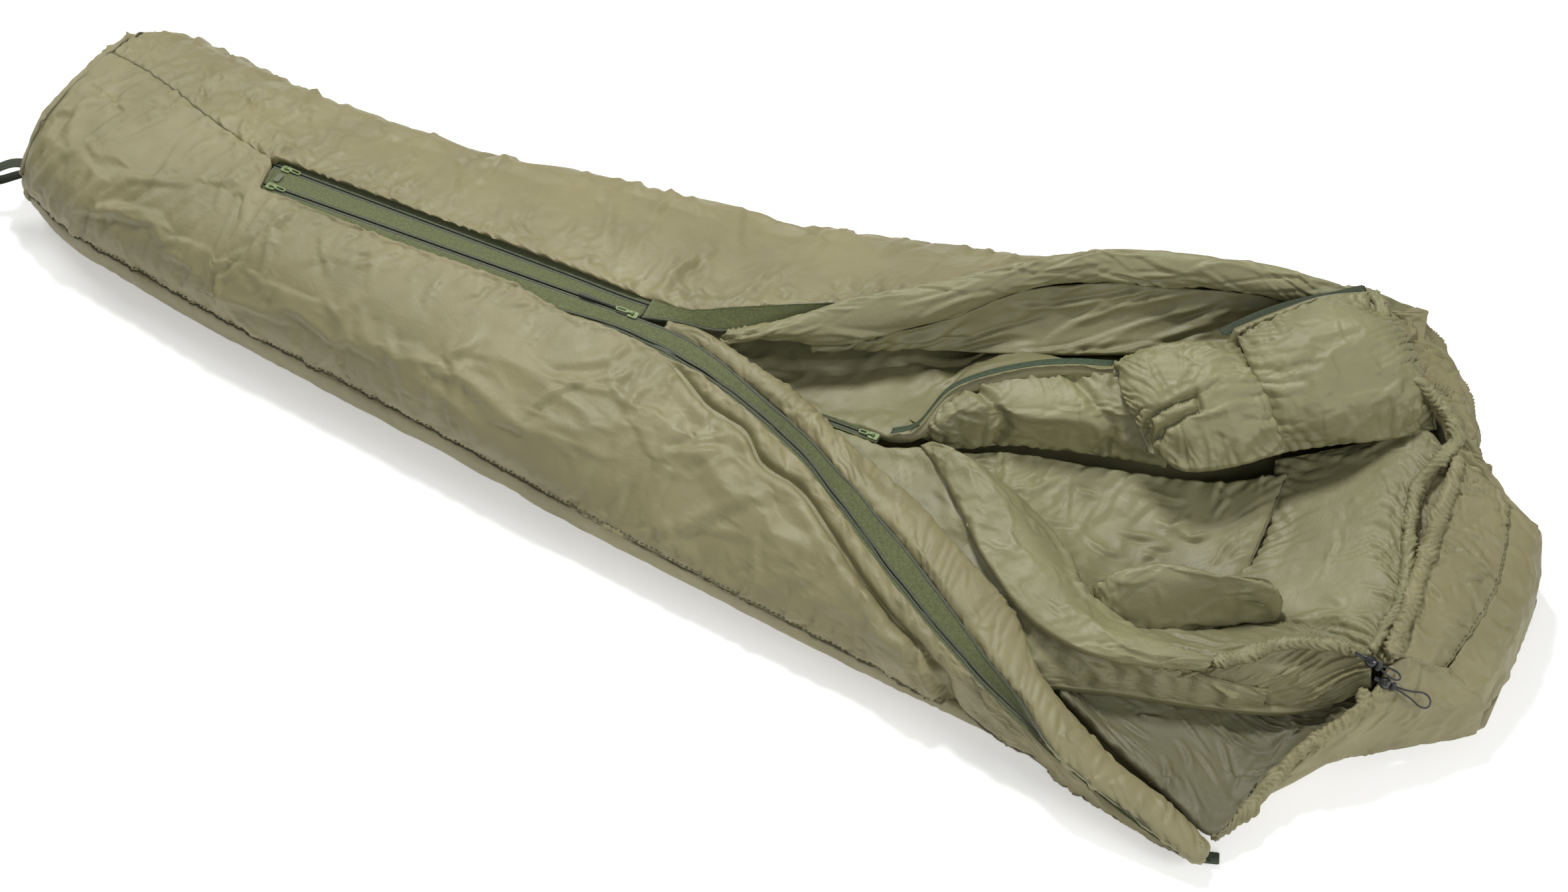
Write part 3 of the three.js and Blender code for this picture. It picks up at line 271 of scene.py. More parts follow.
def settle(grid, ring, grow, pressure, frames, cap):
    """Lets Blender's Cloth buckle a grid that is a little too large for its pinned border, or a
    tube for its pinned ends. No point ends up further than cap from where it started."""
    rows, cols = grid.shape[:2]
    mesh = bpy.data.meshes.new("settling")
    faces = quads(rows, cols, cols if ring else cols - 1)
    mesh.from_pydata((grid.reshape(-1, 3) * MM).tolist(), [], faces)
    obj = bpy.data.objects.new("settling", mesh)
    scene.collection.objects.link(obj)
    pinned = np.zeros((rows, cols), bool)
    pinned[[0, -1]] = True
    if not ring:
        pinned[:, [0, -1]] = True
    obj.vertex_groups.new(name="pinned").add(np.flatnonzero(pinned).tolist(), 1.0, "REPLACE")
    modifier = obj.modifiers.new("Cloth", "CLOTH")
    cloth = modifier.settings
    cloth.quality = 4
    cloth.mass = 0.2
    cloth.air_damping = 3
    cloth.tension_stiffness = 20
    cloth.compression_stiffness = 20
    cloth.shear_stiffness = 8
    cloth.bending_stiffness = 0.6
    cloth.vertex_group_mass = "pinned"
    cloth.shrink_min = -grow
    cloth.effector_weights.gravity = 0
    cloth.use_pressure = pressure > 0
    cloth.uniform_pressure_force = pressure
    modifier.collision_settings.use_collision = False
    modifier.point_cache.frame_end = frames
    for number in range(1, frames + 1):
        scene.frame_set(number)
    settled = obj.evaluated_get(bpy.context.evaluated_depsgraph_get()).to_mesh()
    points = np.empty(rows * cols * 3)
    settled.vertices.foreach_get("co", points)
    bpy.data.objects.remove(obj)
    scene.frame_set(1)
    moved = points.reshape(rows, cols, 3) / MM - grid
    size = np.linalg.norm(moved, axis=-1, keepdims=True)
    return grid + moved * np.minimum(1, cap / np.maximum(size, 1e-9))


# ---- Meshes ----


def new_piece(name, points, faces, cloth, part=None):
    """A mesh in the frame's metres from points in the tables' millimetres; cloth is its slot, which is not
    used, and its material. It stands in for the CAD part of that name, where there is one."""
    slot, material = cloth
    mesh = bpy.data.meshes.new(name)
    mesh.from_pydata(((np.asarray(points) + SHIFT) * MM).tolist(), [], faces)
    mesh.validate()
    work = bmesh.new()
    work.from_mesh(mesh)
    bmesh.ops.recalc_face_normals(work, faces=work.faces)
    work.to_mesh(mesh)
    work.free()
    mesh.polygons.foreach_set("use_smooth", [True] * len(mesh.polygons))
    mesh.materials.append(material)
    obj = bpy.data.objects.new(name, mesh)
    scene.collection.objects.link(obj)
    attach(obj, "bag")
    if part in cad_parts:
        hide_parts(part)
    return obj


def shell_faces(rows, cols):
    """Faces of a closed shell of two grids of the same size, the second after the first."""
    base = rows * cols
    faces = []
    for a, b, c, d in quads(rows, cols, cols - 1):
        faces += [(a, b, c, d), (base + a, base + d, base + c, base + b)]
    for i in range(rows - 1):
        for a, turn in ((i * cols, 1), (i * cols + cols - 1, -1)):
            faces.append((a, a + cols, base + a + cols, base + a)[::turn])
    for j in range(cols - 1):
        for a, turn in ((j, -1), ((rows - 1) * cols + j, 1)):
            faces.append((a, a + 1, base + a + 1, base + a)[::turn])
    return faces


def ring_faces(rows, cols):
    """Faces of a tube of rings, with each end closed by a fan round its centre."""
    faces = quads(rows, cols, cols)
    for first, centre, turn in ((0, rows * cols, -1), ((rows - 1) * cols, rows * cols + 1, 1)):
        faces += [(first + j, first + (j + 1) % cols, centre)[::turn] for j in range(cols)]
    return faces


def with_ends(rings):
    """The points of a tube of rings and then the centre of each end, as ring_faces wants them."""
    return np.concatenate([rings.reshape(-1, 3), np.stack([rings[0].mean(0), rings[-1].mean(0)])])


def shell(part, outer, inner, cloth):
    """A closed piece of padding between two grids."""
    points = np.concatenate([outer.reshape(-1, 3), inner.reshape(-1, 3)])
    piece = new_piece(f"{part}_cloth", points, shell_faces(*outer.shape[:2]), cloth, part)


def tube(part, rings, cloth):
    """A closed piece of padding from rings."""
    piece = new_piece(f"{part}_cloth", with_ends(rings), ring_faces(*rings.shape[:2]), cloth, part)


# ---- Cross sections, as [y, z] lines ----


def top_arc(body, x, start, end, count):
    """A body's top between two shares of the way over, from the near seam to the far one."""
    middle, half, height, seam = smooth(body, x)
    angle = np.linspace(start, end, count) * math.pi
    c, s = np.cos(angle), np.sin(angle)
    power = 2 / ROUNDNESS
    return np.stack([middle - half * np.sign(c) * np.abs(c) ** power,
                     seam + SEAM_GAP + (height - seam - SEAM_GAP) * np.abs(s) ** power], -1)


def arc_fraction(body, x, y):
    """The share of the way over a body's top that lies at y."""
    middle, half = smooth(body, x)[:2]
    share = min(1.0, max(-1.0, (middle - y) / half))
    return math.acos(math.copysign(abs(share) ** (ROUNDNESS / 2), share)) / math.pi


def bottom_line(body, x, floor, count):
    """From the far side seam, round under the bag, to the near side seam."""
    middle, half, _, seam = smooth(body, x)
    edge = min(EDGE_R, half * 0.45)
    bend = np.linspace(0, math.pi / 2, 12)
    far = np.stack([middle + half - edge + edge * np.cos(bend),
                    seam - SEAM_GAP - (seam - SEAM_GAP - floor) * np.sin(bend)], -1)
    near = far[::-1] * [-1, 1] + [2 * middle, 0]
    flat = np.stack([np.linspace(far[-1, 0], near[0, 0], count)[1:-1], np.full(count - 2, floor)], -1)
    return np.concatenate([far, flat, near])


def bridge(start, end, control, count):
    """An open flap's line, bent toward control."""
    t = np.linspace(0, 1, count)[:, None]
    return (1 - t) ** 2 * np.array(start) + 2 * t * (1 - t) * np.array(control) + t**2 * np.array(end)


def evenly(line, count):
    """The same line with its points at equal distances."""
    travelled = lengths(line[None], 1)[0]
    at = np.linspace(0, travelled[-1], count)
    return np.stack([np.interp(at, travelled, line[:, k]) for k in range(line.shape[1])], -1)


def beside_zip(x):
    """0 along the foot's centre seam, 1 where the panels meet the double zip."""
    return ease(x, -717, -701)


def opening(x):
    """0 where the outer bag is zipped shut, 1 where its two sides lie apart."""
    return ease(x, -160, 20)


def near_edge(x):
    """The near panel's edge: the centre seam at the foot, then along chain C."""
    seam = smooth(CENTRE_SEAM, x)[0] - SEAM_GAP
    y, z = smooth(CHAIN_C, x)
    zip_side = y + mix(17, -9, ease(x, -300, -170))     # under the tape, then short of it
    return np.array([mix(seam, zip_side, beside_zip(x)), z + mix(3, -2, ease(x, 560, 700))])


def near_section(x, count):
    middle, half, _, seam = smooth(BODY, x)
    edge = near_edge(x)
    closed = top_arc(BODY, x, 0, arc_fraction(BODY, x, edge[0]), 60)
    low = ease(x, 630, 700)                             # the flap lies down on its corner
    side = middle - half - 15 * ease(x, 530, 615)
    start = np.array([mix(side, min(edge[0] + 8, side), low), mix(seam + SEAM_GAP, 5, low)])
    control = [mix(start[0], edge[0], 0.3) - 8 * low, mix(start[1], edge[1], 0.95)]
    return evenly(mix(closed, bridge(start, edge, control, 60), opening(x)), count)


def far_section(x, count):
    middle, half, _, seam = smooth(BODY, x)
    closed_y = mix(smooth(CENTRE_SEAM, x)[0], smooth(CHAIN_A, x)[0] + 8, beside_zip(x))
    edge = smooth(FAR_EDGE, x)
    closed = top_arc(BODY, x, arc_fraction(BODY, x, closed_y), 1, 60)
    end = np.array([middle + half, seam + SEAM_GAP])
    control = [mix(edge[0], end[0], 0.9), mix(end[1], edge[1], 0.9)]
    return evenly(mix(closed, bridge(edge, end, control, 60), opening(x)), count)


def inner_section(x, side, count):
    middle, half, _, seam = smooth(INNER, x)
    start = np.array([middle + side * half, seam + SEAM_GAP])
    crest = smooth(INNER_CREST if side < 0 else INNER_FAR_EDGE, x)
    edge = crest - 4 if side < 0 else crest
    fraction = arc_fraction(INNER, x, -5 if side < 0 else 13)
    sag = [mix(start[0], edge[0], 0.45), mix(start[1], edge[1], 0.6 if side < 0 else 0.2)]
    closed = top_arc(INNER, x, *((0, fraction) if side < 0 else (fraction, 1)), 60)
    opened = bridge(*((start, edge) if side < 0 else (edge, start)), sag, 60)
    return evenly(mix(closed, opened, ease(x, 200, 330)), count)


def long_grid(xs, section, count):
    """Cross sections side by side along X."""
    lines = [section(x, count) for x in xs]
    return np.stack([np.concatenate([np.full((len(line), 1), x), line], -1) for x, line in zip(xs, lines)])


# ---- Folds, seams and stitches ----


def pucker(grid, edges, seed, normal):
    """Pulls seams in and runs creases away from them. An edge is (which, crease depth, crease
    spacing, crease reach, pull-in) in millimetres: the first or last column, the start or end row."""
    along, across = lengths(grid, 0), lengths(grid, 1)
    moved = np.zeros(grid.shape[:2])
    for number, (which, depth, spacing, reach, pull) in enumerate(edges):
        far, near = {
            "first": (across, along), "last": (across[:, -1:] - across, along),
            "start": (along, across), "end": (along[-1:] - along, across),
        }[which]
        key = seed * 31 + number * 7
        slant = 0.5 * noise(np.stack([near / 90, far / 200], -1), key + 1)
        skew = near + slant * far
        fold = 0.6 * creases(skew, far, spacing, key) + 0.7 * (lobes(skew, far, spacing, key + 3) - 0.75)
        length = reach * (0.75 + 0.6 * noise(np.stack([near / (spacing * 1.7), far * 0], -1), key + 2))
        moved += depth * fold * np.exp(-((far / np.maximum(length, 4)) ** 1.6))
        moved -= pull * np.exp(-far / 9)
    return grid + normal * moved[..., None]


def rumple(grid, depth, size, seed, turn, stretch=2.5, normal=None):
    """Broad soft folds, longer than they are wide, in a direction turned from the X axis."""
    normal = normals(grid) if normal is None else normal
    c, s = math.cos(turn), math.sin(turn)
    x, y, z = grid[..., 0], grid[..., 1], grid[..., 2]
    flat = np.stack([(x * c + y * s) / stretch, -x * s + y * c, z], -1)
    bend = billows(grid, size * 3, seed + 11)[..., None] * size * 0.5
    soft = billows(flat + bend, size, seed)
    sharp = creases(flat[..., 1] + bend[..., 0], flat[..., 0], size * 1.3, seed + 3)
    return grid + normal * (depth * (soft + 0.7 * sharp))[..., None]


def groove(grid, points, width, depth, normal):
    """Presses a line of stitching, given by [x, y] points, into a surface."""
    flat = grid[..., :2]
    nearest = np.full(grid.shape[:2], 1e9)
    for a, b in zip(points[:-1], points[1:]):
        a, b = np.array(a, float), np.array(b, float)
        t = np.clip(((flat - a) @ (b - a)) / ((b - a) @ (b - a)), 0, 1)
        nearest = np.minimum(nearest, np.linalg.norm(flat - a - t[..., None] * (b - a), axis=-1))
    return grid - normal * (depth * np.exp(-((nearest / width) ** 2)))[..., None]


def crumple(grid, seed, count, angle, spread, size, width, height, normal, rows=(0, 1), cols=(0, 1)):
    """Scatters short folds, each a tapered ridge with a valley beside it, about an angle from the
    rows' direction. size and width are ranges; rows and cols are the shares of the grid they fall on."""
    chance = np.random.default_rng(seed)
    along, across = lengths(grid, 0), lengths(grid, 1)
    moved = np.zeros(grid.shape[:2])
    for _ in range(count):
        i = int(chance.uniform(*rows) * (grid.shape[0] - 1))
        j = int(chance.uniform(*cols) * (grid.shape[1] - 1))
        turn = angle + spread * chance.normal()
        long, wide, bend = chance.uniform(*size), chance.uniform(*width) / 2, chance.normal() * 0.25
        ds, dt = along - along[i, j], across - across[i, j]
        on = ds * math.cos(turn) + dt * math.sin(turn)
        off = dt * math.cos(turn) - ds * math.sin(turn) + bend * on * on / long
        taper = np.clip(1 - (2 * on / long) ** 2, 0, 1)
        side = chance.choice((-1.3, 1.3))
        fold = np.exp(-((off / wide) ** 2)) - 0.75 * np.exp(-(((off - side * wide) / (0.7 * wide)) ** 2))
        moved += height * chance.uniform(0.4, 1) * taper * fold
    return grid + normal * np.clip(moved, -2.2 * height, 2.2 * height)[..., None]


NEARLY_UP = [0.05, 0.02, 1]              # up, but never quite along a seam
QUARTERS = ((1, 0), (0, 1), (-1, 0), (0, -1))    # corners of a thread's section


def side_and_up(along):
    """Two directions square to a line's."""
    side = unit(np.cross(NEARLY_UP, along))
    return side, np.cross(along, side)


def welt(name, line, radius):
    """A thin line of piping or seam along a row of points, coloured dark as painted shade in the seam's
    groove.
    """
    side, up = side_and_up(unit(np.gradient(line, axis=0)))
    angle = round_angles(8)[:, None]
    rings = line[:, None] + radius * (side[:, None] * np.cos(angle) + up[:, None] * np.sin(angle))
    new_piece(name, with_ends(rings), ring_faces(len(rings), 8), ("outer_shell", PAINTED_SEAM_SHADE))


def stitches(name, line, pitch, slot="outer_shell"):
    """A row of separate stitches lying along a line of points."""
    travelled = lengths(line[:, None], 0)[:, 0]
    at = np.arange(pitch, travelled[-1] - pitch, pitch)
    pick = lambda where: np.stack([np.interp(where, travelled, line[:, k]) for k in range(3)], -1)
    points, faces = [], []
    for start, end in zip(pick(at), pick(at + pitch * 0.62)):
        side, up = side_and_up(unit(end - start))
        base = len(points)
        for place, size in ((0.0, 0.2), (0.2, 0.75), (0.8, 0.75), (1.0, 0.2)):
            for a, b in QUARTERS:
                points.append(mix(start, end, place) + size * (side * a + up * b))
        faces += [tuple(base + v for v in face) for face in quads(4, 4, 4) + [(3, 2, 1, 0), (12, 13, 14, 15)]]
    new_piece(name, points, faces, (slot, THREAD))


def thickness(grid, depth, normal):
    """The lining side of a panel; depth may be a grid of its own."""
    return grid - normal * np.broadcast_to(depth, grid.shape[:2])[..., None]


# ---- Materials ----


SURFACE = "Principled BSDF"              # the node that every material starts with
WAVE = 0.31                              # period of a wave texture at scale 1, in metres
WEAVE = 0.0007                           # from thread to thread of the nylon, in metres


def wire(tree, kind, inputs):
    """A new shader node, or the surface one; each input is linked to a socket or given a value."""
    node = tree.nodes[kind] if kind == SURFACE else tree.nodes.new(kind)
    for name, value in inputs.items():
        if isinstance(value, bpy.types.NodeSocket):
            tree.links.new(value, node.inputs[name])
        else:
            node.inputs[name].default_value = value
    return node


def shader(name, colour, roughness, metallic=0.0, sheen=0.0, coat=0.0):
    material = bpy.data.materials.new(name)
    material.use_nodes = True
    tree = material.node_tree
    wire(tree, SURFACE, {"Base Color": (*colour, 1), "Roughness": roughness, "Metallic": metallic,
                         "Sheen Weight": sheen, "Coat Weight": coat})
    return material, tree, tree.nodes.new("ShaderNodeTexCoord").outputs["Object"]


def noise_node(tree, place, scale, detail, rough=0.5, distortion=0.0):
    return wire(tree, "ShaderNodeTexNoise", {"Scale": scale, "Detail": detail, "Roughness": rough,
                                             "Distortion": distortion, "Vector": place}).outputs["Fac"]


def bump_node(tree, height, distance, strength, under=None):
    inputs = {"Distance": distance, "Strength": strength, "Height": height}
    if under:
        inputs["Normal"] = under
    return wire(tree, "ShaderNodeBump", inputs).outputs["Normal"]


def ramp_node(tree, factor, low, high):
    node = wire(tree, "ShaderNodeValToRGB", {"Fac": factor})
    for element, position, colour in zip(node.color_ramp.elements, (0.3, 0.7), (low, high)):
        element.position = position
        element.color = (*colour, 1)
    return node.outputs["Color"]


def wave_node(tree, place, axis, pitch, distortion):
    """Ribs across an axis, one to each pitch in metres."""
    node = wire(tree, "ShaderNodeTexWave", {"Scale": WAVE / pitch, "Distortion": distortion,
                                            "Vector": place})
    node.bands_direction = axis
    return node.outputs["Fac"]


def fabric(name, colour, roughness, sheen, crinkle):
    """A thin woven nylon: soft colour drift, fine crinkles and the weave itself."""
    material, tree, place = shader(name, colour, roughness, sheen=sheen)
    dark = tuple(c * 0.86 for c in colour)
    light = tuple(min(1, c * 1.10) for c in colour)
    patchy = ramp_node(tree, noise_node(tree, place, 26, 3), (roughness - 0.06,) * 3, (roughness + 0.08,) * 3)
    weave = wire(tree, "ShaderNodeMath", {0: wave_node(tree, place, "X", WEAVE, 0.4),
                                          1: wave_node(tree, place, "Y", WEAVE, 0.4)})
    weave.operation = "MULTIPLY"
    big = bump_node(tree, noise_node(tree, place, 22, 3, 0.55, 1.2), 0.004, 0.30 * crinkle)
    fine = bump_node(tree, noise_node(tree, place, 85, 3, 0.6, 1.6), 0.0012, 0.35 * crinkle, big)
    wire(tree, SURFACE, {
        "Base Color": ramp_node(tree, noise_node(tree, place, 7, 4, 0.6), dark, light),
        "Sheen Roughness": 0.35, "Sheen Tint": (*light, 1), "Roughness": patchy,
        "Normal": bump_node(tree, weave.outputs["Value"], 0.00012, 0.35, fine)})
    return material


def ribbed(name, colour, roughness, pitch, depth, sheen=0.3):
    """A woven tape or webbing with cross ribs."""
    material, tree, place = shader(name, colour, roughness, sheen=sheen)
    dark = tuple(c * 0.7 for c in colour)
    light = tuple(min(1, c * 1.18) for c in colour)
    wire(tree, SURFACE, {
        "Base Color": ramp_node(tree, noise_node(tree, place, 300, 2), dark, light),
        "Normal": bump_node(tree, wave_node(tree, place, "X", pitch, 0.6), depth, 0.6)})
    return material


def moulded(name, colour, roughness, coat=0.0, metallic=0.0, wear=0.08):
    """A moulded or enamelled hard surface, with faint mottling and scuffs."""
    material, tree, place = shader(name, colour, roughness, metallic, coat=coat)
    scuff = noise_node(tree, place, 420, 4, 0.65)
    low = tuple(c * (1 - wear) for c in colour)
    high = tuple(min(1, c * (1 + wear) + wear * 0.03) for c in colour)
    rough = ramp_node(tree, noise_node(tree, place, 180, 3), (roughness * 0.85,) * 3, (roughness * 1.25,) * 3)
    wire(tree, SURFACE, {"Base Color": ramp_node(tree, scuff, low, high), "Roughness": rough,
                         "Normal": bump_node(tree, scuff, 0.00008, 0.3)})
    return material


SHELL_CLOTH = fabric("shell cloth", (0.196, 0.175, 0.086), 0.56, 0.15, 1.1)
# Seam colour: a dark olive that paints the shade of the groove along a seam or crease.
PAINTED_SEAM_SHADE = fabric("painted seam shade", (0.115, 0.103, 0.056), 0.65, 0.10, 0.8)
LINING_CLOTH = fabric("lining cloth", (0.186, 0.178, 0.086), 0.54, 0.10, 1.2)
# A darker copy of the lining: painted shade for the pit of the near lining.
LINING_PAINTED_SHADE = fabric("shaded lining cloth", (0.104, 0.098, 0.049), 0.58, 0.08, 1.2)
INNER_CLOTH = fabric("inner cloth", (0.182, 0.171, 0.084), 0.55, 0.10, 1.2)
TAPE_CLOTH = ribbed("zip tape", (0.084, 0.096, 0.028), 0.80, 0.0011, 0.0003)
COIL_CLOTH = ribbed("zip coil band", (0.048, 0.058, 0.024), 0.60, 0.0016, 0.0004)
COIL_PLASTIC = moulded("zip coil", (0.085, 0.100, 0.060), 0.42)
SLIDER_PAINT = moulded("slider enamel", (0.150, 0.205, 0.075), 0.45, coat=0.1, wear=0.14)
WEBBING = ribbed("webbing", (0.030, 0.042, 0.020), 0.78, 0.0016, 0.0005, sheen=0.0)
BINDING = ribbed("inner zip tape", (0.034, 0.056, 0.026), 0.76, 0.0015, 0.0004, sheen=0.0)
ELASTIC = ribbed("elastic cord", (0.010, 0.010, 0.011), 0.62, 0.0012, 0.0003)
BLACK_PLASTIC = moulded("cord lock plastic", (0.012, 0.012, 0.013), 0.22, coat=0.4)
PULL_RUBBER = moulded("pull rubber", (0.035, 0.040, 0.030), 0.55)
THREAD = ribbed("stitching thread", (0.060, 0.062, 0.034), 0.75, 0.0008, 0.0002)
METAL_TAB = moulded("stop tab", (0.100, 0.115, 0.070), 0.55, metallic=0.2)

# What a piece of cloth is made of: its slot and its material.
OUTER_SIDE = ("outer_shell", SHELL_CLOTH)
INNER_SIDE = ("inner_shell", INNER_CLOTH)
LINING = ("lining", LINING_CLOTH)

# ---- Outer bag ----


def long_panel(xs, section, cols, rumpling, settling):
    """A long panel's rumpled and settled top, its smooth shape and the directions out of it."""
    base = long_grid(xs, section, cols)
    grid = settle(rumple(base, *rumpling), False, *settling)
    base = refine(base)
    return refine(grid), base, normals(base)


def outer_near_panel():
    xs = steps(PANEL_START, 860, 10)
    fine, base, up = long_panel(xs, near_section, 56, (2.2, 70, 3, -0.7, 2.2), (0.010, 1.0, 20, 6))
    fine = crumple(fine, 31, 90, 1.1, 0.3, (60, 200), (10, 22), 3.8, up)
    fine = crumple(fine, 33, 60, 1.3, 0.3, (50, 160), (10, 17), 3.8, up, rows=(0, 0.28))
    fine = crumple(fine, 35, 70, 1.3, 0.25, (40, 110), (10, 15), 3.2, up, cols=(0.75, 1), rows=(0.12, 0.6))
    fine = crumple(fine, 37, 70, 1.4, 0.25, (30, 70), (10, 14), 2.2, up, cols=(0, 0.16))
    x = fine[..., 0]
    off = fine[..., 1] - np.array([smooth(NEAR_CREASE, v)[0] for v in x[:, 0]])[:, None]
    # A valley beside the opening, and gathered cloth between it and the zip.
    shown = ease(x, -60, 30) * (1 - ease(x, 540, 640))
    press = 17 * np.exp(-((off / 5) ** 2)) - 6 * np.exp(-(((off + 18) / 14) ** 2))
    strip = np.exp(-(((off - 18) / 13) ** 2))
    fold = creases(x + 0.7 * off, off, 30, 91)
    fine = fine + up * (shown * (strip * (6 + 9 * fold) - press))[..., None]
    fine = pucker(fine, [("first", 3.4, 20, 40, 7), ("last", 3.0, 22, 34, 4.5)], seed=5, normal=up)
    share = np.linspace(0, 1, fine.shape[1])[None, :]
    depth = mix(SHELL, np.where(x < BAND_START, SHELL, 10), share**3) * mix(1, 0.4, ease(x, 450, 680))
    shell("outer_near_panel", fine, thickness(base, depth, up), OUTER_SIDE)
    welt("side_seam_near", fine[:, 0] + [0, -1.5, -1.2], 1.7)
    stitches("side_seam_stitches", fine[:, 2] + up[:, 2] * 0.6, 7.5)
    foot = slice(int(0.155 * len(fine)))
    welt("centre_seam", fine[foot, -1] + up[foot, -1] * 0.4, 1.3)


def outer_far_panel():
    xs = steps(PANEL_START, PANEL_END, 10)
    fine, base, up = long_panel(xs, far_section, 54, (2.2, 70, 13, 1.2, 2.0), (0.010, 1.0, 20, 6))
    fine = crumple(fine, 41, 110, 1.9, 0.3, (60, 200), (10, 20), 3.8, up)
    fine = crumple(fine, 43, 90, 1.8, 0.25, (50, 130), (10, 16), 4.4, up, cols=(0, 0.3), rows=(0.1, 0.75))
    fine = crumple(fine, 45, 40, 1.5, 0.4, (50, 140), (11, 18), 2.6, up, rows=(0, 0.2))
    fine = pucker(fine, [("first", 9, 26, 62, 5), ("last", 3.0, 26, 40, 6), ("start", 3, 24, 34, 5)],
                  seed=15, normal=up)
    share = np.linspace(0, 1, fine.shape[1])[None, :]
    depth = mix(np.where(fine[..., 0] < BAND_START, SHELL, 9), SHELL - 2, np.minimum(1, 2.5 * share))
    shell("outer_far_panel", fine, thickness(base, depth, up), OUTER_SIDE)


def outer_bottom_panel():
    xs = steps(PANEL_START, 1132, 14)
    base = refine(long_grid(xs, lambda x, n: bottom_line(BODY, x, 0, n), 30))
    up = normals(base)
    swell = 3.0 * billows(base, 60, 29) * ease(base[..., 2], 2, 30)
    fine = base + up * swell[..., None]
    fine = pucker(fine, [("first", 2.5, 26, 40, 6), ("last", 4.0, 22, 50, 7)], seed=25, normal=up)
    fine[..., 2] = np.maximum(fine[..., 2], 0)
    shell("outer_bottom_panel", fine, thickness(base, SHELL, up), OUTER_SIDE)


def foot_end_cap():
    middle, half, height, seam = smooth(BODY, FOOT_X)
    angle = round_angles(240)

    def dome(inset, depth, rows):
        share = np.linspace(0, 1, rows)[:, None]
        c, s = np.cos(angle)[None], np.sin(angle)[None]
        power = 2 / ROUNDNESS
        tall = np.where(s > 0, height - seam - inset, seam - inset)
        y = -(half - inset) * np.sign(c) * np.abs(c) ** power
        z = tall * np.sign(s) * np.abs(s) ** power
        size = np.cos(share * math.pi / 2 * 0.97) ** 0.8
        x = FOOT_X - SEAM_GAP - depth * np.sin(share * math.pi / 2) + 0 * y
        return np.stack([x, middle + y * size, np.maximum(inset, seam + z * size)], -1)

    outside = dome(inset=0, depth=34, rows=40)
    out = ring_out(outside)
    travelled = lengths(outside, 0)
    around = (angle * 160)[None, :] + 0 * travelled
    fold = creases(around, travelled, 26, 41)
    upper = ease(outside[..., 1], 20, 90)
    moved = (1.2 + 2.4 * upper) * fold * np.exp(-((travelled / 38) ** 1.5)) + 2.5 * billows(outside, 55, 43)
    moved -= (2 + 5 * upper) * np.exp(-travelled / 8)
    outside = outside + out * moved[..., None]
    outside = crumple(outside, 47, 60, 1.2, 0.8, (30, 90), (8, 16), 4.0, out)
    outside[..., 2] = np.maximum(outside[..., 2], 0)
    rings = np.concatenate([dome(inset=SHELL, depth=18, rows=8)[::-1], outside])
    tube("foot_end_cap", rings, OUTER_SIDE)
    upper_half = slice(10, 118)
    welt("foot_end_seam", (outside[1] + out[1])[upper_half], 1.5)


# ---- Stuffed tubes, pads and flaps ----


def oval_rings(xs, low, high, shift, radii, cols):
    """Settled rings of a stuffed tube along X between two tables' lines, with rounded ends; radii
    turns the way from one line to the other into two half sizes and a tilt."""
    angle = round_angles(cols)
    rings = []
    for x in xs:
        y, z = (smooth(low, x) + smooth(high, x)) / 2 + shift
        across, up, tilt = radii(smooth(high, x) - smooth(low, x))
        end = min(x - xs[0], xs[-1] - x) / max(across, up)
        full = math.sqrt(max(0.02, 1 - (1 - min(1, end)) ** 2))
        dy, dz = across * full * np.cos(angle), up * full * np.sin(angle)
        rings.append(np.stack([np.full(cols, x), y + dy * math.cos(tilt) - dz * math.sin(tilt),
                               z + dy * math.sin(tilt) + dz * math.cos(tilt)], -1))
    return refine(settle(np.stack(rings), True, 0.03, 1.5, 18, 6), ring=True)


def swept_rings(points, across, up, rows, cols, blunt):
    """Rings of a stuffed tube along any curve of [x, y, z] points; blunt tapers its two ends."""
    line = evenly(through(points, np.linspace(0, len(points) - 1, 200)), rows)
    along = unit(np.gradient(line, axis=0))
    side = unit(np.cross([0, 0, 1], along))
    top = np.cross(along, side)
    u = np.linspace(0, 1, rows)
    full = (1 - blunt + blunt * np.abs(np.sin(math.pi * u)) ** 0.4)[:, None]
    full[[0, -1]] *= 0.6
    angle = round_angles(cols)
    return (line[:, None] + side[:, None] * (across * full * np.cos(angle))[..., None]
            + top[:, None] * (up * full * np.sin(angle))[..., None])


def ring_out(rings):
    """Directions out of a tube of rings."""
    n = normals(rings, ring=True)
    middle = rings.mean(1, keepdims=True)
    return n * np.sign(((rings - middle) * n).sum((0, 1, 2)))


def lobes(across, along, spacing, seed):
    """Full rounded gathers side by side: 1 on a lobe, 0 in the sharp valley between two."""
    drift = noise(np.stack([across / (2.3 * spacing), along / (3.0 * spacing)], -1), seed)
    return np.abs(np.sin(math.pi * (across / spacing + 0.9 * drift))) ** 0.65


def ruffle(rings, spacing, depth, seed, swirl):
    """Gathers all round a tube, tight valleys between fuller lobes; swirl sets them wandering."""
    out = ring_out(rings)
    turn = round_angles(rings.shape[1])[None]
    travelled = lengths(rings.mean(1)[:, None], 0) + 0 * turn
    wander = swirl * spacing * np.sin(turn + 2 * noise(np.stack([travelled / 60, 0 * travelled], -1), seed))
    full = lobes(travelled + wander, 2 * spacing * np.cos(turn) + 0 * travelled, spacing, seed + 1)
    spots = np.stack([travelled / spacing / 1.5, np.cos(turn) + 0 * travelled], -1)
    tall = 0.7 + 0.5 * noise(spots, seed + 2)
    return rings + out * (depth * (tall * full - 0.6))[..., None]


def rail_grid(rails, rows, cols):
    """A surface through rails of [x, y, z] points: rows along the rails, columns across them."""
    lines = [through(rail, np.linspace(0, 1, rows) * (len(rail) - 1)) for rail in rails]
    return np.stack([through(across, np.linspace(0, len(rails) - 1, cols)) for across in zip(*lines)])


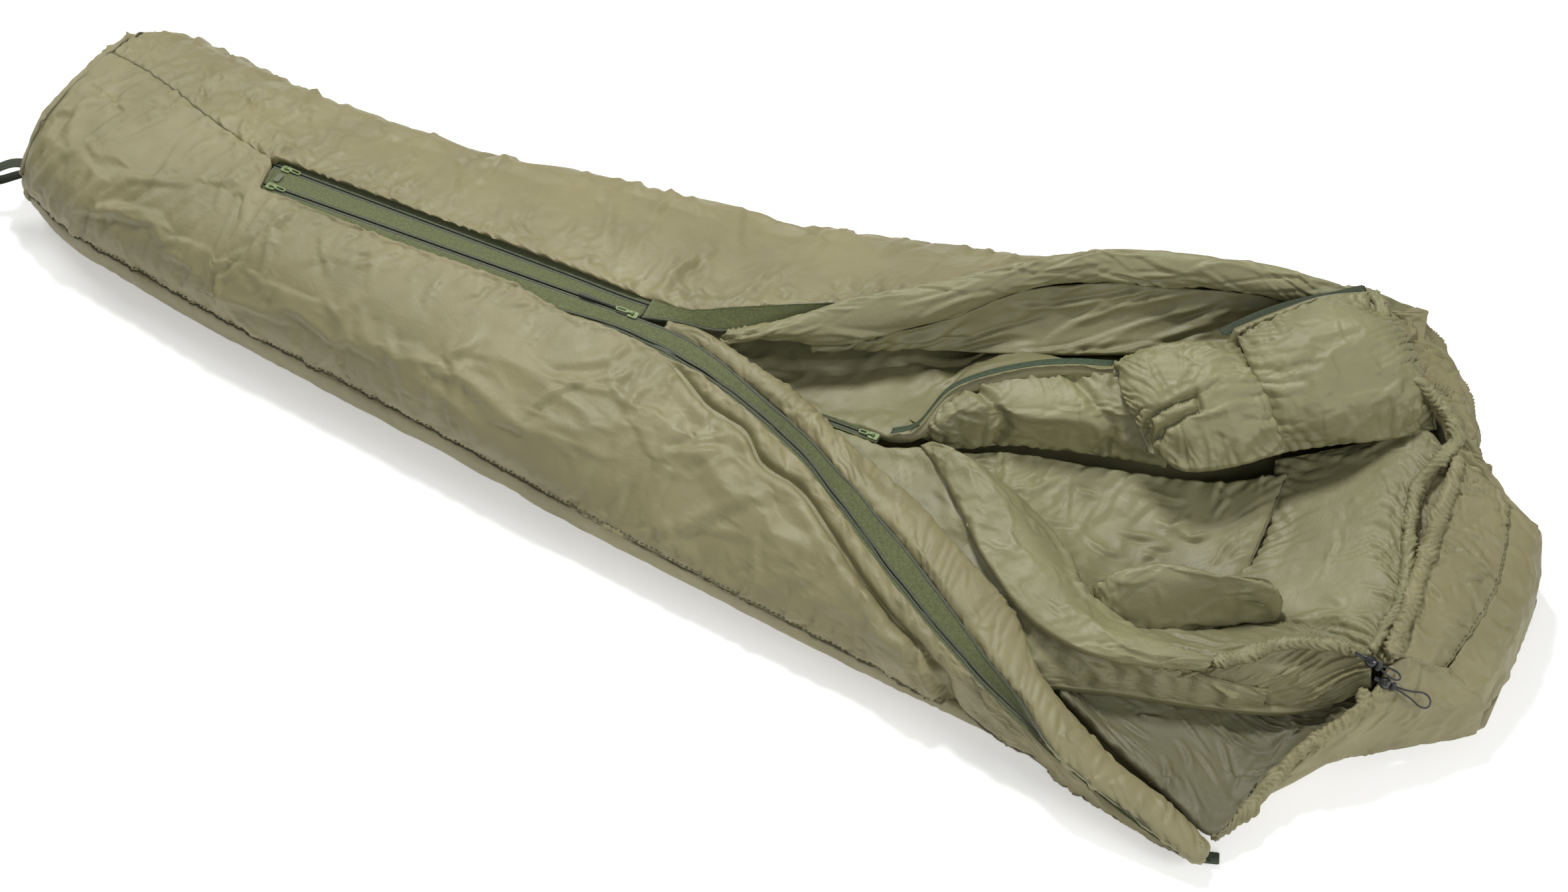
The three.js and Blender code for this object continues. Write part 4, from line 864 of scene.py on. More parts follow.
def pillow(part, rails, depth, rows, cols, change, edges, seed, folds):
    """A stuffed patch through rails, full in the middle and closed to a thin seam all round. change
    adds its own shapes; edges are for pucker and folds is the number of them for crumple."""
    flat = rail_grid(rails, rows, cols)
    up = upward(flat)
    u = np.abs(np.linspace(-1, 1, rows))[:, None]
    v = np.abs(np.linspace(-1, 1, cols))[None]
    full = np.clip(1 - u**4, 0, 1) ** 0.5 * np.clip(1 - v**4, 0, 1) ** 0.5 * 0.95 + 0.05
    middle = flat - up * depth / 2
    top = rumple(middle + up * (depth / 2 * full)[..., None], 1.4, 34, seed, turn=0.6, normal=up)
    top = settle(top, False, 0.012, 2.0, 18, 5.4)
    top, middle, up = refine(top), refine(middle), refine(up)
    full = refine(full[..., None])[..., 0]
    top = crumple(top, seed + 1, folds, 0.8, 0.8, (24, 80), (6, 12), 2.0, up)
    top = pucker(top, edges, seed, normal=up)
    if change:
        top = change(top, up)
    inside = middle - up * (depth / 2 * full)[..., None]
    shell(part, top, inside, LINING)


def panel_patch(part, rails, seed, edges, depth=HOOD_T, cloth=OUTER_SIDE, rows=44, cols=26, folds=26,
                angle=0.8, height=2.6, cap=4.2):
    """A thin padded panel through rails; edges are for pucker, folds, angle and height for crumple.
    Returns its top and the directions out of it."""
    base = rail_grid(rails, rows, cols)
    up = upward(base)
    top = rumple(base, 1.6, 40, seed, turn=0.4, normal=up)
    top = settle(top, False, 0.010, 0.8, 16, cap)
    top, base, up = refine(top), refine(base), refine(up)
    top = crumple(top, seed + 1, folds, angle, 0.5, (30, 90), (6, 12), height, up)
    top = pucker(top, edges, seed, normal=up)
    shell(part, top, base - up * depth, cloth)
    return top, up


def flaps():
    def roll_radii(across):
        return math.hypot(*across) / 2 + 2, 12, math.atan2(across[1], across[0])

    rings = oval_rings(steps(10, 856, 7), ROLL_LOW, ROLL_TOP, [0, 0], roll_radii, 34)
    out = ring_out(rings)
    turned = 0.35 * lengths(rings.mean(1)[:, None], 0)
    around = np.linspace(0, 150, rings.shape[1])[None] + turned
    rings = rings + out * (4.5 * creases(around, turned * 3 + 0 * around, 26, 51))[..., None]
    rings = crumple(rings, 53, 120, 0.25, 0.25, (40, 150), (5, 10), 3.0, out)
    tube("far_flap_roll", rings, LINING)

    def draft_radii(across):
        tilt = 0.6 * math.atan2(across[1], across[0])
        return math.hypot(*across) / 2 + 3, min(14, 0.5 * across[0] + 3), tilt

    rings = oval_rings(steps(-60, 886, 6), B_NEAR, DRAFT_EDGE, [1, -7], draft_radii, 40)
    rings = ruffle(rings, 21, 2.6, 55, swirl=0.8)
    rings = crumple(rings, 57, 150, 1.1, 0.5, (20, 60), (6, 11), 2.6, ring_out(rings))
    tube("near_draft_tube", rings, ("lining", SHELL_CLOTH))

    def lining(x, count):
        low = smooth(LINING_LOW, x)
        high = smooth(ROLL_LOW, x) + [4, -4]
        return bridge(low, high, [mix(low[0], high[0], 0.7), mix(low[1], high[1], 0.25)], count)

    base = refine(long_grid(steps(120, 856, 10), lining, 18))
    up = upward(base)
    top = rumple(base, 3.0, 50, 61, turn=0.45, normal=up)
    top = crumple(top, 62, 60, 0.35, 0.3, (60, 200), (7, 16), 5.0, up)
    top = pucker(top, [("first", 3, 40, 30, 0), ("last", 4, 30, 30, 2)], 63, normal=up)
    shell("outer_far_lining", top, base - up * 6, LINING)
    # The near lining takes the darker copy of the lining: painted shade in the pit under the inner bag.
    panel_patch("outer_near_lining", [
        [[512, -133, 64], [620, -185, 58], [777, -135, 46], [887, -112, 46], [971, -69, 76], [996, -77, 117]],
        [[565, -162, 48], [681, -212, 37], [801, -191, 34], [891, -167, 34], [942, -118, 48], [986, -95, 98]],
        [[639, -226, 60], [748, -270, 54], [827, -300, 48], [886, -316, 42], [914, -225, 46],
         [966, -143, 82]],
    ], 65, [("first", 3, 30, 40, 0), ("end", 4, 14, 40, 0)], 8, ("lining", LINING_PAINTED_SHADE),
                60, 34, 60, 0.9, 6.0)


# ---- Inner bag ----


def inner_bag():
    for side, word, last, seed in ((-1, "near", 875, 71), (1, "far", 880, 75)):
        fine, base, up = long_panel(steps(-1070, last, 12), lambda x, n: inner_section(x, side, n), 40,
                                    (3.5, 50, seed, 0.9 * side, 1.8), (0.015, 1.0, 16, 8))
        fine = crumple(fine, seed + 2, 90, 1.2 * side, 0.5, (50, 150), (9, 20), 3.6, up, rows=(0.5, 1))
        zip_edge = "last" if side < 0 else "first"
        seam_edge = "first" if side < 0 else "last"
        fine = pucker(fine, [(zip_edge, 4.5, 26, 40, 4), (seam_edge, 3, 30, 40, 4)], seed, normal=up)
        shell(f"inner_{word}_panel", fine, thickness(base, LINER, up), INNER_SIDE)
    floor = SHELL + LAYER_GAP
    base = refine(long_grid(steps(-1070, 985, 18), lambda x, n: bottom_line(INNER, x, floor, n), 26))
    up = normals(base)
    inside = base - up * LINER
    inside = inside - up * (5 * billows(inside, 90, 79))[..., None]
    shell("inner_bottom_panel", base, inside, INNER_SIDE)
    pillow("inner_near_flap", [
        [[318, 8, 142], [358, -20, 146], [422, -76, 144], [481, -130, 140], [572, -184, 130],
         [670, -190, 122], [784, -150, 118], [806, -128, 114]],
        [[340, 20, 150], [392, 4, 156], [474, -42, 150], [538, -90, 144], [612, -138, 134],
         [690, -154, 128], [784, -134, 122], [804, -124, 116]],
        [[360, 24, 130], [440, 17, 120], [512, -6, 110], [570, -42, 104], [618, -84, 102],
         [700, -110, 102], [786, -118, 108], [802, -118, 110]],
    ], 24, 70, 26, None,
        [("first", 2.5, 22, 30, 0), ("last", 2.5, 26, 30, 0)], 81, 70)
    pillow("far_collar_tube", [
        [[304, 22, 122], [344, 34, 104], [392, 60, 100], [440, 88, 100], [506, 108, 100], [567, 126, 102],
         [624, 140, 104]],
        [[306, 24, 132], [338, 46, 150], [378, 72, 160], [432, 98, 162], [492, 126, 168], [556, 150, 172],
         [626, 178, 172]],
        [[309, 34, 138], [322, 80, 161], [355, 115, 176], [411, 156, 189], [460, 182, 195], [514, 202, 199],
         [600, 246, 200]],
    ], 34, 58, 34, collar_folds,
        [("first", 6, 22, 40, 0), ("last", 7, 16, 40, 2)], 85, 40)


def collar_folds(top, up):
    """Two deep folds across the collar tube."""
    travelled = lengths(top, 0)
    for place, width, depth in ((118, 9, 13), (262, 10, 9)):
        bend = 14 * np.sin(lengths(top, 1) / 30)
        top = top - up * (depth * np.exp(-(((travelled - place - bend) / width) ** 2)))[..., None]
    return top


TAB_BOX = [[588, 138], [636, 181], [650, 168], [602, 125], [588, 138]]


def laid_on(grid, points, lift):
    """Points of a grid nearest below a line of [x, y] points, a little above the cloth."""
    flat = grid[..., :2].reshape(-1, 2)
    line = []
    for k in np.linspace(0, len(points) - 1, 30 * len(points)):
        a, b = np.array(points[int(k)]), np.array(points[min(int(k) + 1, len(points) - 1)])
        spot = mix(a, b, k - int(k))
        near = grid.reshape(-1, 3)[np.argmin(((flat - spot) ** 2).sum(1))]
        line.append([*spot, near[2] + lift])
    return np.array(line)


def tab_quilting(top, up):
    """The stitched rectangle and the puckers that run out from it."""
    centre = np.mean(TAB_BOX[:4], axis=0)
    flat = top[..., :2] - centre
    radius = np.linalg.norm(flat, axis=-1)
    angle = np.arctan2(flat[..., 1], flat[..., 0])
    fold = creases(angle * 70 + 6 * np.sin(radius / 30), radius, 16, 97)
    top = top + up * (7 * fold * np.exp(-(((radius - 44) / 30) ** 2)))[..., None]
    top = groove(top, TAB_BOX, 4.0, 11, normal=up)
    stitches("tab_stitches", laid_on(top, TAB_BOX, 1.0), 4.5, "lining")
    return top


def inner_pads():
    pillow("quilted_collar_tab", [
        [[604, 112, 164], [655, 108, 156], [712, 138, 160], [774, 192, 170]],
        [[545, 150, 204], [600, 150, 214], [668, 176, 224], [742, 212, 214]],
        [[518, 190, 216], [560, 206, 240], [628, 232, 254], [704, 238, 246]],
        [[503, 214, 208], [545, 248, 220], [590, 272, 232], [652, 300, 236]],
    ], 30, 46, 50, tab_quilting,
        [("first", 5, 18, 36, 0), ("last", 4, 22, 36, 0), ("start", 7, 15, 36, 0), ("end", 8, 20, 44, 0)],
        95, 14)
    pillow("far_hood_baffle", [
        [[764, 184, 168], [832, 224, 176], [896, 264, 186], [940, 304, 194]],
        [[732, 206, 214], [806, 248, 240], [870, 300, 244], [914, 338, 228]],
        [[694, 232, 248], [756, 300, 280], [812, 354, 284], [864, 384, 258]],
        [[644, 296, 252], [676, 334, 264], [728, 390, 275], [790, 438, 276]],
    ], 36, 50, 50, None,
        [("first", 6, 20, 56, 0), ("last", 5, 22, 46, 0), ("start", 9, 20, 56, 0), ("end", 11, 13, 56, 0)],
        101, 22)
    pillow("near_collar_pad", [
        [[614, -100, 92], [646, -118, 80], [700, -104, 70], [756, -66, 68], [838, -20, 78], [852, -6, 92]],
        [[612, -94, 112], [640, -84, 132], [692, -60, 142], [760, -32, 144], [828, -6, 138], [850, 0, 114]],
        [[616, -86, 116], [634, -54, 130], [684, -26, 138], [760, -4, 140], [826, 8, 134], [846, 6, 120]],
    ], 32, 44, 30, None,
        [("first", 4, 22, 30, 0), ("last", 3, 26, 30, 2), ("start", 5, 16, 26, 0)], 105, 40)
    panel_patch("inner_hood_back", [
        [[648, 296, 244], [682, 334, 256], [732, 388, 266], [788, 432, 264]],
        [[640, 284, 214], [688, 318, 218], [748, 360, 222], [816, 404, 226]],
        [[628, 260, 188], [694, 290, 184], [768, 332, 182], [850, 372, 180]],
    ], 145, [("first", 6, 16, 40, 0), ("last", 3, 26, 30, 0)], 8, INNER_SIDE,
                40, 20, 30, 1.4, 3.0)
    torso, up = panel_patch("torso_baffle", [
        [[340, 18, 120], [417, 2, 104], [500, -34, 92], [570, -78, 88], [640, -118, 82], [776, -60, 72]],
        [[350, 26, 108], [432, 36, 84], [520, 30, 68], [616, 20, 62], [700, 20, 62], [776, 30, 72]],
        [[352, 36, 104], [430, 84, 96], [520, 112, 92], [610, 138, 92], [700, 168, 96], [772, 216, 108]],
    ], 111, [("end", 8, 26, 60, 9), ("last", 5, 30, 50, 0)], 12, LINING,
                56, 44, 60, 1.0, 5.0, 5.4)
    welt("torso_baffle_seam", torso[-1] + up[-1] * 0.5, 1.8)
    pillow("head_baffle", [
        [[744, 232, 106], [758, 180, 90], [768, 116, 76], [750, 30, 64], [748, -60, 64]],
        [[838, 274, 150], [842, 200, 132], [852, 114, 114], [856, 30, 100], [856, -28, 88]],
        [[906, 306, 188], [900, 216, 168], [914, 122, 146], [924, 40, 132], [928, -24, 116]],
        [[958, 270, 200], [952, 196, 180], [962, 108, 162], [976, 36, 154], [984, -44, 146]],
    ], 24, 52, 44, None,
        [("last", 11, 15, 80, 0), ("first", 9, 22, 60, 0)], 115, 44)
    panel_patch("neck_gusset", [
        [[662, -112, 82], [760, -62, 78], [855, -8, 88], [905, -14, 104], [968, -34, 134]],
        [[728, -126, 100], [806, -94, 104], [878, -50, 112], [920, -40, 124], [970, -42, 142]],
        [[796, -124, 108], [824, -110, 117], [864, -76, 130], [928, -55, 140], [976, -52, 146]],
    ], 117, [("last", 6, 12, 50, 0), ("first", 3, 26, 30, 0)], 8, LINING,
                44, 24, 44, 1.3, 4.0)
    panel_patch("inner_hood_side", [
        [[650, -176, 70], [779, -148, 56], [888, -124, 56], [947, -94, 68], [990, -74, 108]],
        [[720, -166, 92], [806, -142, 88], [880, -108, 96], [936, -80, 108], [984, -66, 126]],
        [[790, -128, 108], [822, -112, 116], [862, -78, 128], [926, -57, 140], [978, -56, 146]],
    ], 119, [("last", 6, 12, 40, 0), ("first", 3, 26, 30, 4)], 10, INNER_SIDE,
                44, 24, 44, 1.3, 5.0)


# ---- Hood and drawcord channels ----


RING_STEP = 2.2                          # along a drawcord channel, fine enough for its gathers


def channels():
    for word, points, wide, high, cloth in (
        ("outer_channel_upper", [[998, -42, 146], [995, 9, 154], [990, 72, 160], [988, 114, 166],
                                 [983, 165, 174], [981, 218, 184], [976, 266, 196]],
         12, 11, OUTER_SIDE),
        ("outer_channel_lower", [[985, -86, 124], [988, -108, 112], [964, -147, 90], [936, -181, 66],
                                 [922, -222, 50], [908, -268, 38], [884, -318, 30]],
         10, 9, OUTER_SIDE),
        ("inner_channel_near", [[796, -126, 110], [824, -112, 118], [862, -78, 130], [893, -68, 140],
                                [930, -55, 144], [950, -55, 146]], 10, 9, INNER_SIDE),
        ("inner_channel_far", [[974, -44, 144], [981, 38, 153], [970, 101, 159], [951, 167, 169],
                               [942, 216, 179], [960, 268, 194], [962, 292, 205], [936, 316, 220],
                               [888, 334, 238], [846, 360, 252], [790, 432, 264]],
         10, 9, INNER_SIDE),
    ):
        size = lengths(np.array(points, float)[:, None], 0)[-1, 0]
        rings = swept_rings(points, wide, high, int(size / RING_STEP), 30, 0.25)
        rings = ruffle(rings, 9, 6.5, seed=121 + len(word), swirl=1.1)
        tube(word, rings, cloth)


def hood():
    gathered, hem, seamed_start = ("last", 8, 11, 46, 0), ("first", 2.5, 24, 34, 4), ("start", 1.5, 20, 20, 4)
    seam = [[1066, -10, 108], [1078, 58, 122], [1086, 120, 134], [1078, 188, 146], [1060, 256, 156]]
    back, up = panel_patch("hood_back_panel", [
        seam,
        [[1038, -22, 130], [1044, 60, 146], [1042, 124, 156], [1038, 190, 166], [1026, 262, 176]],
        [[996, -40, 144], [993, 30, 155], [988, 114, 165], [983, 180, 176], [978, 264, 194]],
    ], 131, [gathered, ("first", 2.2, 24, 30, 5), seamed_start], folds=40,
        angle=1.3, height=3.4)
    welt("hood_seam", back[:, 0] + up[:, 0] * -3.4, 1.4)
    stitches("hood_seam_stitches", back[:, 3] + up[:, 3] * 0.5, 8)
    panel_patch("hood_crown_panel", [
        [[1124, -4, 30], [1138, 70, 30], [1138, 140, 32], [1130, 216, 34], [1112, 266, 36]],
        [[1112, -4, 84], [1120, 62, 94], [1125, 126, 104], [1120, 200, 112], [1106, 260, 118]],
        seam,
    ], 135, [("last", 2, 26, 30, 5), hem, seamed_start])
    panel_patch("hood_near_panel", [
        [[926, -208, 34], [992, -134, 26], [1044, -88, 24], [1130, -22, 30]],
        [[944, -190, 62], [1004, -118, 84], [1050, -68, 92], [1122, -4, 78]],
        [[968, -150, 92], [998, -92, 122], [1012, -34, 140], [1072, 2, 112]],
    ], 137, [("last", 5, 15, 34, 0), hem, ("end", 1.5, 20, 20, 4)])
    panel_patch("hood_far_panel", [
        [[1110, 270, 36], [1046, 300, 38], [1006, 342, 40], [958, 430, 40], [868, 508, 40]],
        [[1102, 264, 112], [1034, 290, 110], [996, 334, 114], [948, 418, 118], [866, 496, 122]],
        [[1056, 258, 158], [1012, 284, 164], [986, 322, 172], [942, 396, 188], [860, 466, 206]],
        [[978, 262, 190], [956, 288, 200], [930, 314, 214], [840, 362, 246]],
    ], 139, [("last", 12, 15, 80, 0), hem], rows=60, cols=44, folds=70, angle=1.4,
        height=8.0)
    panel_patch("channel_gusset", [
        [[1000, -44, 140], [994, 40, 150], [988, 114, 160], [982, 200, 174], [978, 272, 192]],
        [[990, -44, 132], [987, 40, 142], [976, 114, 150], [962, 200, 162], [968, 278, 182]],
        [[978, -44, 138], [980, 38, 148], [962, 110, 156], [942, 214, 174], [960, 284, 192]],
    ], 143, [("last", 6, 12, 30, 0), ("first", 6, 12, 30, 0)], rows=60, cols=14, folds=30, angle=1.5)
    panel_patch("hood_rim", [
        [[862, 458, 208], [846, 448, 220], [820, 440, 236], [792, 438, 256]],
        [[856, 400, 236], [838, 408, 246], [814, 416, 254], [790, 432, 264]],
    ], 141, [("last", 4, 12, 30, 0)], rows=24, cols=20, folds=16, angle=1.4)
    panel_patch("hood_tip", [
        [[802, 424, 236], [834, 428, 228], [872, 424, 214]],
        [[822, 432, 242], [844, 437, 236], [866, 440, 228]],
        [[848, 450, 243], [857, 455, 240], [862, 457, 237]],
    ], 147, [], 3, rows=14, cols=12, folds=4, height=1.5, cap=1.2)


# ---- Zips ----
TAPE = 1.0                               # thickness of a zip tape
SLIDER_END = -75                         # no slider of the outer bag comes past this X
TAPE_HEM = 1.2                           # plain edge of a tape that carries no coil
TAPE_RIB = 0.28                          # height of the ribs woven along a tape
TAPE_RIB_PITCH = 2.3                     # from one rib to the next
TAPE_SAG = 0.8                           # how far a tape hangs between its edges
BAND = 4.4                               # width of the raised band over one row of coil
COIL_R = 0.5                             # radius of the coil's plastic
COIL_PITCH = 2.4                         # from one turn of the coil to the next
EDGE_TAPE = 14                           # width of the tape along the far panel
OUTER_TAPE = 8                           # of the one on chain C's outer side
INNER_TAPE = 7.5                         # and of the inner zip's two


def b_near(x):
    return np.array([smooth(CHAIN_B, x)[0] - CHAIN_GAP, ZIP_Z]) if x < BAND_SPLIT else smooth(B_NEAR, x)


def b_far(x):
    return np.array([smooth(CHAIN_B, x)[0] + CHAIN_GAP, ZIP_Z]) if x < BAND_SPLIT else smooth(B_FAR, x)


def shifted(table, dy, dz=0.0):
    return lambda x: smooth(table, x) + [dy, dz]


def waving(line, seed, start=SLIDER_END):
    """The same line, snaking a little as a stitched zip does, but straight where a slider runs."""
    def moved(x):
        calm = ease(x, start, start + 60)
        y = 2.6 * noise(np.array([[x / 42.0, 0.5]]), seed)[0]
        z = 1.8 * noise(np.array([[x / 33.0, 3.5]]), seed)[0]
        return line(x) + [calm * y, calm * z]
    return moved


def tape_profile(width, near_band, far_band):
    """Columns across a tape: the offset from its first edge, the height, and 1 on a band or 0."""
    columns = []
    left = BAND if near_band else TAPE_HEM
    right = BAND if far_band else TAPE_HEM
    for band, start, wide in ((near_band, 0.0, left), (None, left, width - left - right),
                              (far_band, width - right, right)):
        middle = band is None
        count = max(6, int(wide / 0.75)) if middle else 7
        for share in np.linspace(0, 1, count):
            across = start + wide * share
            height = TAPE_RIB * math.sin(2 * math.pi * across / TAPE_RIB_PITCH) if middle else 0.25
            if band:
                height = 1.25 * math.sin(math.pi * share) ** 0.6 - 0.35
            columns.append((across, height, 1 if band else 0))
    return columns


def zip_tape(part, xs, line_a, line_b, bands):
    """A tape between two lines, with a raised band along each edge that carries a row of coil."""
    edges = [(line_a(x), line_b(x)) for x in xs]
    widest = max(np.linalg.norm(b - a) for a, b in edges)
    shape = tape_profile(widest, *bands)
    cols = len(shape)
    top = np.zeros((len(xs), cols, 3))
    for i, (x, (a, b)) in enumerate(zip(xs, edges)):
        wide = np.linalg.norm(b - a)
        along = (b - a) / wide
        up = np.array([-along[1], along[0]])
        for j, (across, height, _) in enumerate(shape):
            if across < BAND + 0.01:
                place = across
            elif across > widest - BAND - 0.01:
                place = wide - (widest - across)
            else:
                share = (across - BAND) / (widest - 2 * BAND)
                place = BAND + share * (wide - 2 * BAND)
            sag = TAPE_SAG * math.sin(math.pi * min(1, max(0, place / wide)))
            top[i, j] = (x, *(a + along * place + up * (height - sag + TAPE / 2)))
    under = top - normals(top) * TAPE
    points = np.concatenate([top.reshape(-1, 3), under.reshape(-1, 3)])
    piece = new_piece(f"{part}_cloth", points, shell_faces(len(xs), cols), ("zip_tape", TAPE_CLOTH), part)
    piece.data.materials.append(COIL_CLOTH)
    for poly in piece.data.polygons:
        columns = [v % cols for v in poly.vertices]
        poly.material_index = min(shape[min(columns)][2], shape[max(columns)][2])
    return piece


def coil_row(part, xs, line, toward):
    """A row of coil along a tape's edge, as one flattened helix."""
    path = np.array([[x, *line(x)] for x in xs])
    aim = np.array([[x, *toward(x)] for x in xs])
    travelled = lengths(path[:, None], 0)[:, 0]
    turns = int(travelled[-1] / COIL_PITCH)
    at = np.linspace(0, travelled[-1], turns * 8 + 1)
    pick = lambda values: np.stack([np.interp(at, travelled, values[:, k]) for k in range(3)], -1)
    middle, inward = pick(path), unit(pick(aim - path))
    along = unit(np.gradient(middle, axis=0))
    up = np.cross(along, inward)
    up *= np.sign(up[:, 2:3] + 1e-9)
    angle = np.arange(len(at)) * (2 * math.pi / 8)
    turn = inward * (1.5 + 1.9 * np.cos(angle))[:, None]
    centre = middle + turn + up * (-1.6 + 0.9 * np.sin(angle))[:, None]
    tangent = unit(np.gradient(centre, axis=0))
    side = unit(np.cross(tangent, along))
    lift = np.cross(tangent, side)
    rings = np.stack([centre + COIL_R * (side * c + lift * s) for c, s in QUARTERS], 1)
    teeth = ring_faces(len(rings), 4)
    new_piece(f"{part}_teeth", with_ends(rings), teeth, ("zip_coil", COIL_PLASTIC), part)


def zips():
    shut, opened = steps(BAND_START, BAND_SPLIT, 5), steps(BAND_SPLIT, PANEL_END, 5)
    band = np.concatenate([shut, opened[1:]])
    chain_b_far, chain_b_near = waving(b_far, 7), waving(b_near, 7)
    chain_a = lambda dy: waving(shifted(CHAIN_A, dy), 9)
    chain_c = waving(shifted(CHAIN_C, CHAIN_GAP), 11, -760)
    zip_tape("zip_tape_far_edge", steps(BAND_START, -60, 5), chain_a(CHAIN_GAP),
             chain_a(EDGE_TAPE), (True, False))
    zip_tape("zip_tape_far_band", shut, chain_b_far, chain_a(-CHAIN_GAP),
             (True, True))
    zip_tape("zip_tape_near_band", band, chain_c, chain_b_near, (True, True))
    tape_low, tape_high = waving(shifted(FAR_TAPE_LOW, 0), 13), shifted(FAR_EDGE, -2, -2)
    zip_tape("zip_tape_far_open", steps(-98, 190, 5), tape_low, tape_high,
             (True, False))
    coil_row("zip_coil_b_far", steps(-98, 186, 6), tape_low, tape_high)
    zip_tape("zip_chain_c_outer", band, lambda x: chain_c(x) + [-2 * CHAIN_GAP - OUTER_TAPE, -2.5],
             lambda x: chain_c(x) + [-2 * CHAIN_GAP, 0], (False, True))
    coil_row("zip_coil_b_near", steps(BAND_SPLIT, PANEL_END, 6), b_near,
             lambda x: smooth(CHAIN_C, x))
    for node in ("zip_coil_a_far", "zip_coil_a_near", "zip_coil_c"):
        dress(node, COIL_PLASTIC)
    line = lambda x: smooth(INNER_ZIP, x)
    for side, word in ((-1, "near"), (1, "far")):
        edge = lambda x, side=side: line(x) + [side * CHAIN_GAP, 0]
        out = lambda x, side=side: line(x) + [side * INNER_TAPE, 0]
        pair = (out, edge) if side < 0 else (edge, out)
        zip_tape(f"inner_zip_tape_{word}", steps(60, 262, 5), *pair,
                 (side > 0, side < 0))
        dress(f"inner_zip_coil_{word}", COIL_PLASTIC)


def dress(node, material):
    """A carried-over CAD node gets a better material."""
    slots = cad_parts[node].data.materials
    slots.clear()
    slots.append(material)


# ---- Hardware and cords ----


def hardware():
    for name in ("foot_a", "foot_b", "main", "inner"):
        dress(f"{name}_slider", SLIDER_PAINT)
        dress(f"{name}_pull", SLIDER_PAINT)
    dress("main_pull_cord", PULL_RUBBER)
    dress("zip_foot_stop", METAL_TAB)
    edge = shifted(INNER_FAR_EDGE, -4, 3)
    binding = zip_tape("inner_zip_binding", steps(276, 512, 4), edge,
                       lambda x: edge(x) + [8, 3], (False, False))
    binding.data.materials[0] = BINDING
    dress("flap_corner_tab", WEBBING)
    for part, points, wide in (
        ("foot_hang_loop", [[-1106, -68, 86], [-1134, -84, 90], [-1156, -102, 82], [-1165, -111, 72],
                            [-1154, -104, 63], [-1134, -88, 67], [-1108, -72, 76]], 10),
        ("head_strap", [[626, 300, 228], [662, 346, 236], [700, 384, 243], [740, 412, 250],
                        [776, 438, 258]], 7.5),
    ):
        tube(part, swept_rings(points, wide, 1.0, 60, 12, 0), ("webbing", WEBBING))
    dress("zip_garage", LINING_CLOTH)


CORD_LOCKS = [
    dict(name="upper", ball=(979, -60, 145), turn=0.05, tilt=0.3, tail=23, reach=42, wide=6.5),
    dict(name="lower", ball=(1004, -70, 128), turn=0.13, tilt=0.26, tail=14, reach=62, wide=11),
]
STRAND = 1.5                             # half the distance between a loop's two strands


def cord_locks():
    for lock in CORD_LOCKS:
        name, tail, reach, wide = lock["name"], lock["tail"], lock["reach"], lock["wide"]
        turn, tilt = lock["turn"], lock["tilt"]
        ahead = np.array([math.cos(turn) * math.cos(tilt), math.sin(turn) * math.cos(tilt), -math.sin(tilt)])
        aside = np.array([-math.sin(turn), math.cos(turn), 0.0])
        place = lambda x, y: (np.array(lock["ball"]) + ahead * x + aside * y + SHIFT) * MM
        half = [[-tail, STRAND], [-tail / 2, STRAND], [-2, STRAND], [6, STRAND], [14, STRAND],
                [reach - 24, wide * 0.55], [reach - 11, wide], [reach - 3, wide * 0.75]]
        route = half + [[reach, 0]] + [[x, -y] for x, y in half[::-1]]
        curve = bpy.data.curves.new(f"hood_cord_{name}_elastic", "CURVE")
        curve.dimensions = "3D"
        curve.bevel_depth = CORD_D / 2 * MM
        curve.bevel_resolution = 4
        curve.use_fill_caps = True
        spline = curve.splines.new("BEZIER")
        spline.bezier_points.add(len(route) - 1)
        for point, (x, y) in zip(spline.bezier_points, route):
            point.co = place(x, y)
            point.handle_left_type = point.handle_right_type = "AUTO"
        cord = bpy.data.objects.new(f"hood_cord_{name}_elastic", curve)
        scene.collection.objects.link(cord)
        cord.data.materials.append(ELASTIC)
        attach(cord, "bag")
        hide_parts(f"hood_cord_{name}")
        dress(f"cord_lock_{name}", BLACK_PLASTIC)
        dress(f"cord_knot_{name}", ELASTIC)
        dense = through(route, np.linspace(0, len(route) - 1, 300))
        float(lengths(dense[:, None], 0)[-1, 0]) * MM


# ---- Floor, light and camera ----
TARGET = (0.108, 0.023, 0.0)             # what the camera looks at, about the drawing point, in metres
AZIMUTH, ELEVATION, DISTANCE = 27.4, 50.0, 3.8
LENS = 62.03


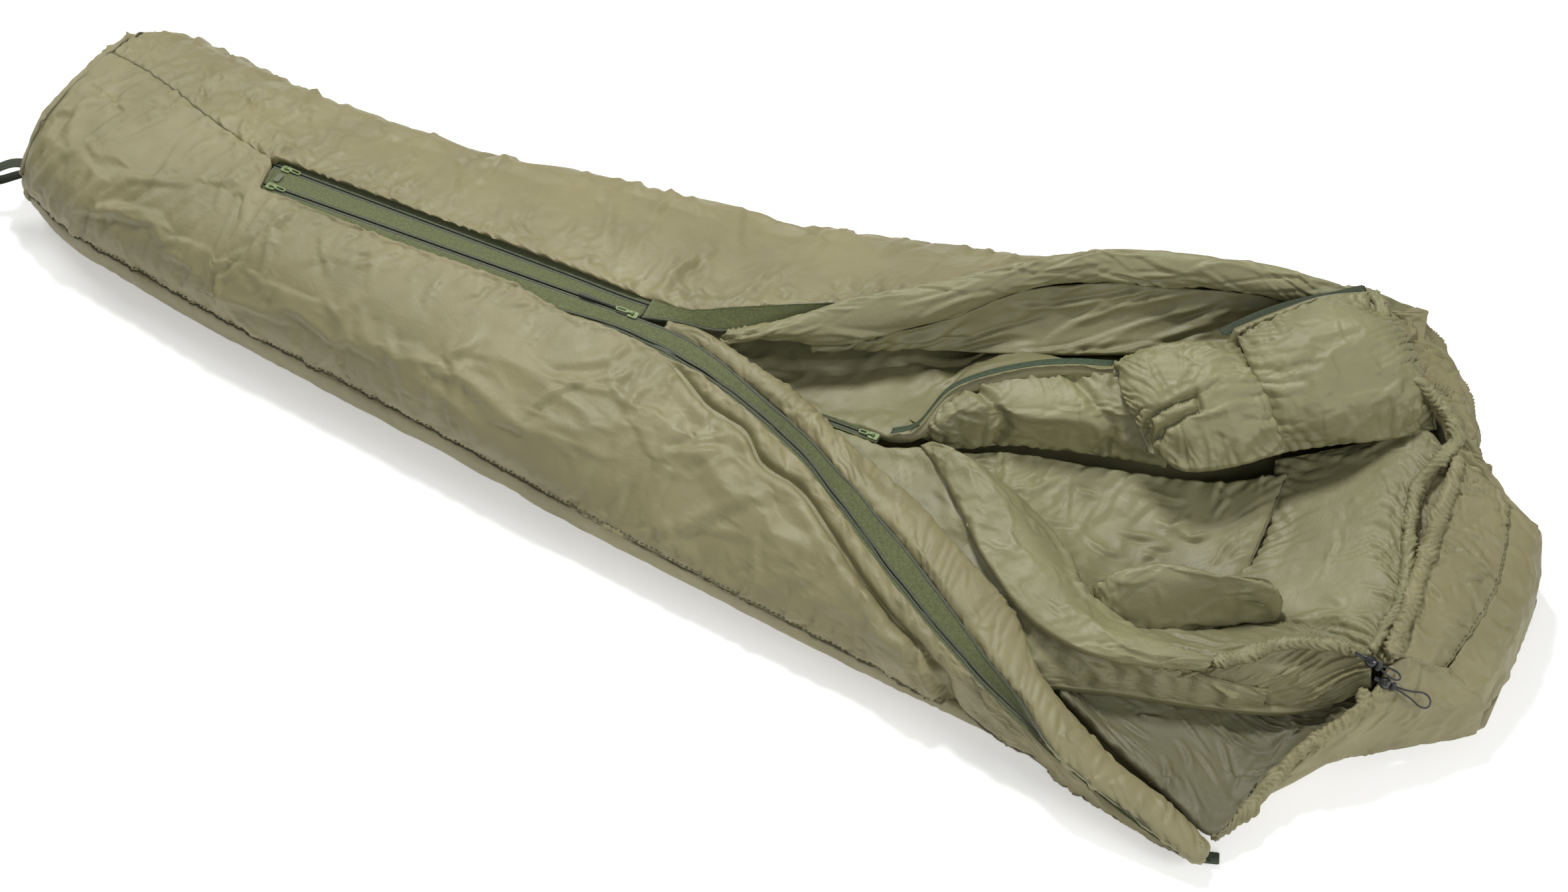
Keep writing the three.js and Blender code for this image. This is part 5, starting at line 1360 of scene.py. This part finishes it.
def stage():
    mesh = bpy.data.meshes.new("floor")
    mesh.from_pydata([(-9, -9, 0), (9, -9, 0), (9, 9, 0), (-9, 9, 0)], [], [(0, 1, 2, 3)])
    floor = bpy.data.objects.new("floor", mesh)
    scene.collection.objects.link(floor)
    material, tree, _ = shader("floor", (0.90, 0.90, 0.89), 0.9)
    wire(tree, SURFACE, {"Specular IOR Level": 0.1, "Emission Color": (1.0, 1.0, 1.0, 1),
                         "Emission Strength": 0.30})
    mesh.materials.append(material)

    world = bpy.data.worlds.new("studio")
    scene.world = world
    world.use_nodes = True
    background = world.node_tree.nodes["Background"]
    background.inputs["Color"].default_value = (1.0, 1.0, 1.0, 1)
    background.inputs["Strength"].default_value = 0.26

    middle = Vector(TARGET) + Vector(SHIFT * MM)
    for name, place, size, power in (
        ("key", (-0.5, 0.85, 2.8), 0.6, 80),
        ("fill", (1.5, -2.5, 2.2), 1.6, 31),
        ("side", (2.9, -0.5, 1.5), 1.2, 29),
        ("rim", (-2.6, 0.6, 1.8), 1.2, 26),
    ):
        light = bpy.data.lights.new(name, "AREA")
        light.shape = "DISK"
        light.size = size
        light.energy = power
        lamp = bpy.data.objects.new(name, light)
        lamp.location = middle + Vector(place)
        lamp.rotation_euler = (middle - lamp.location).to_track_quat("-Z", "Y").to_euler()
        scene.collection.objects.link(lamp)

    azimuth, elevation = math.radians(AZIMUTH), math.radians(ELEVATION)
    back = Vector((math.sin(azimuth) * math.cos(elevation), -math.cos(azimuth) * math.cos(elevation),
                   math.sin(elevation)))
    camera = bpy.data.objects.new("camera", bpy.data.cameras.new("camera"))
    camera.data.lens = LENS
    camera.data.sensor_width = 36
    camera.location = middle + back * DISTANCE
    camera.rotation_euler = (-back).to_track_quat("-Z", "Y").to_euler()
    scene.collection.objects.link(camera)
    scene.camera = camera
    scene.view_settings.view_transform = "Standard"


stage()
cord_locks()
outer_near_panel()
outer_far_panel()
outer_bottom_panel()
foot_end_cap()
flaps()
inner_bag()
inner_pads()
channels()
hood()
zips()
hardware()
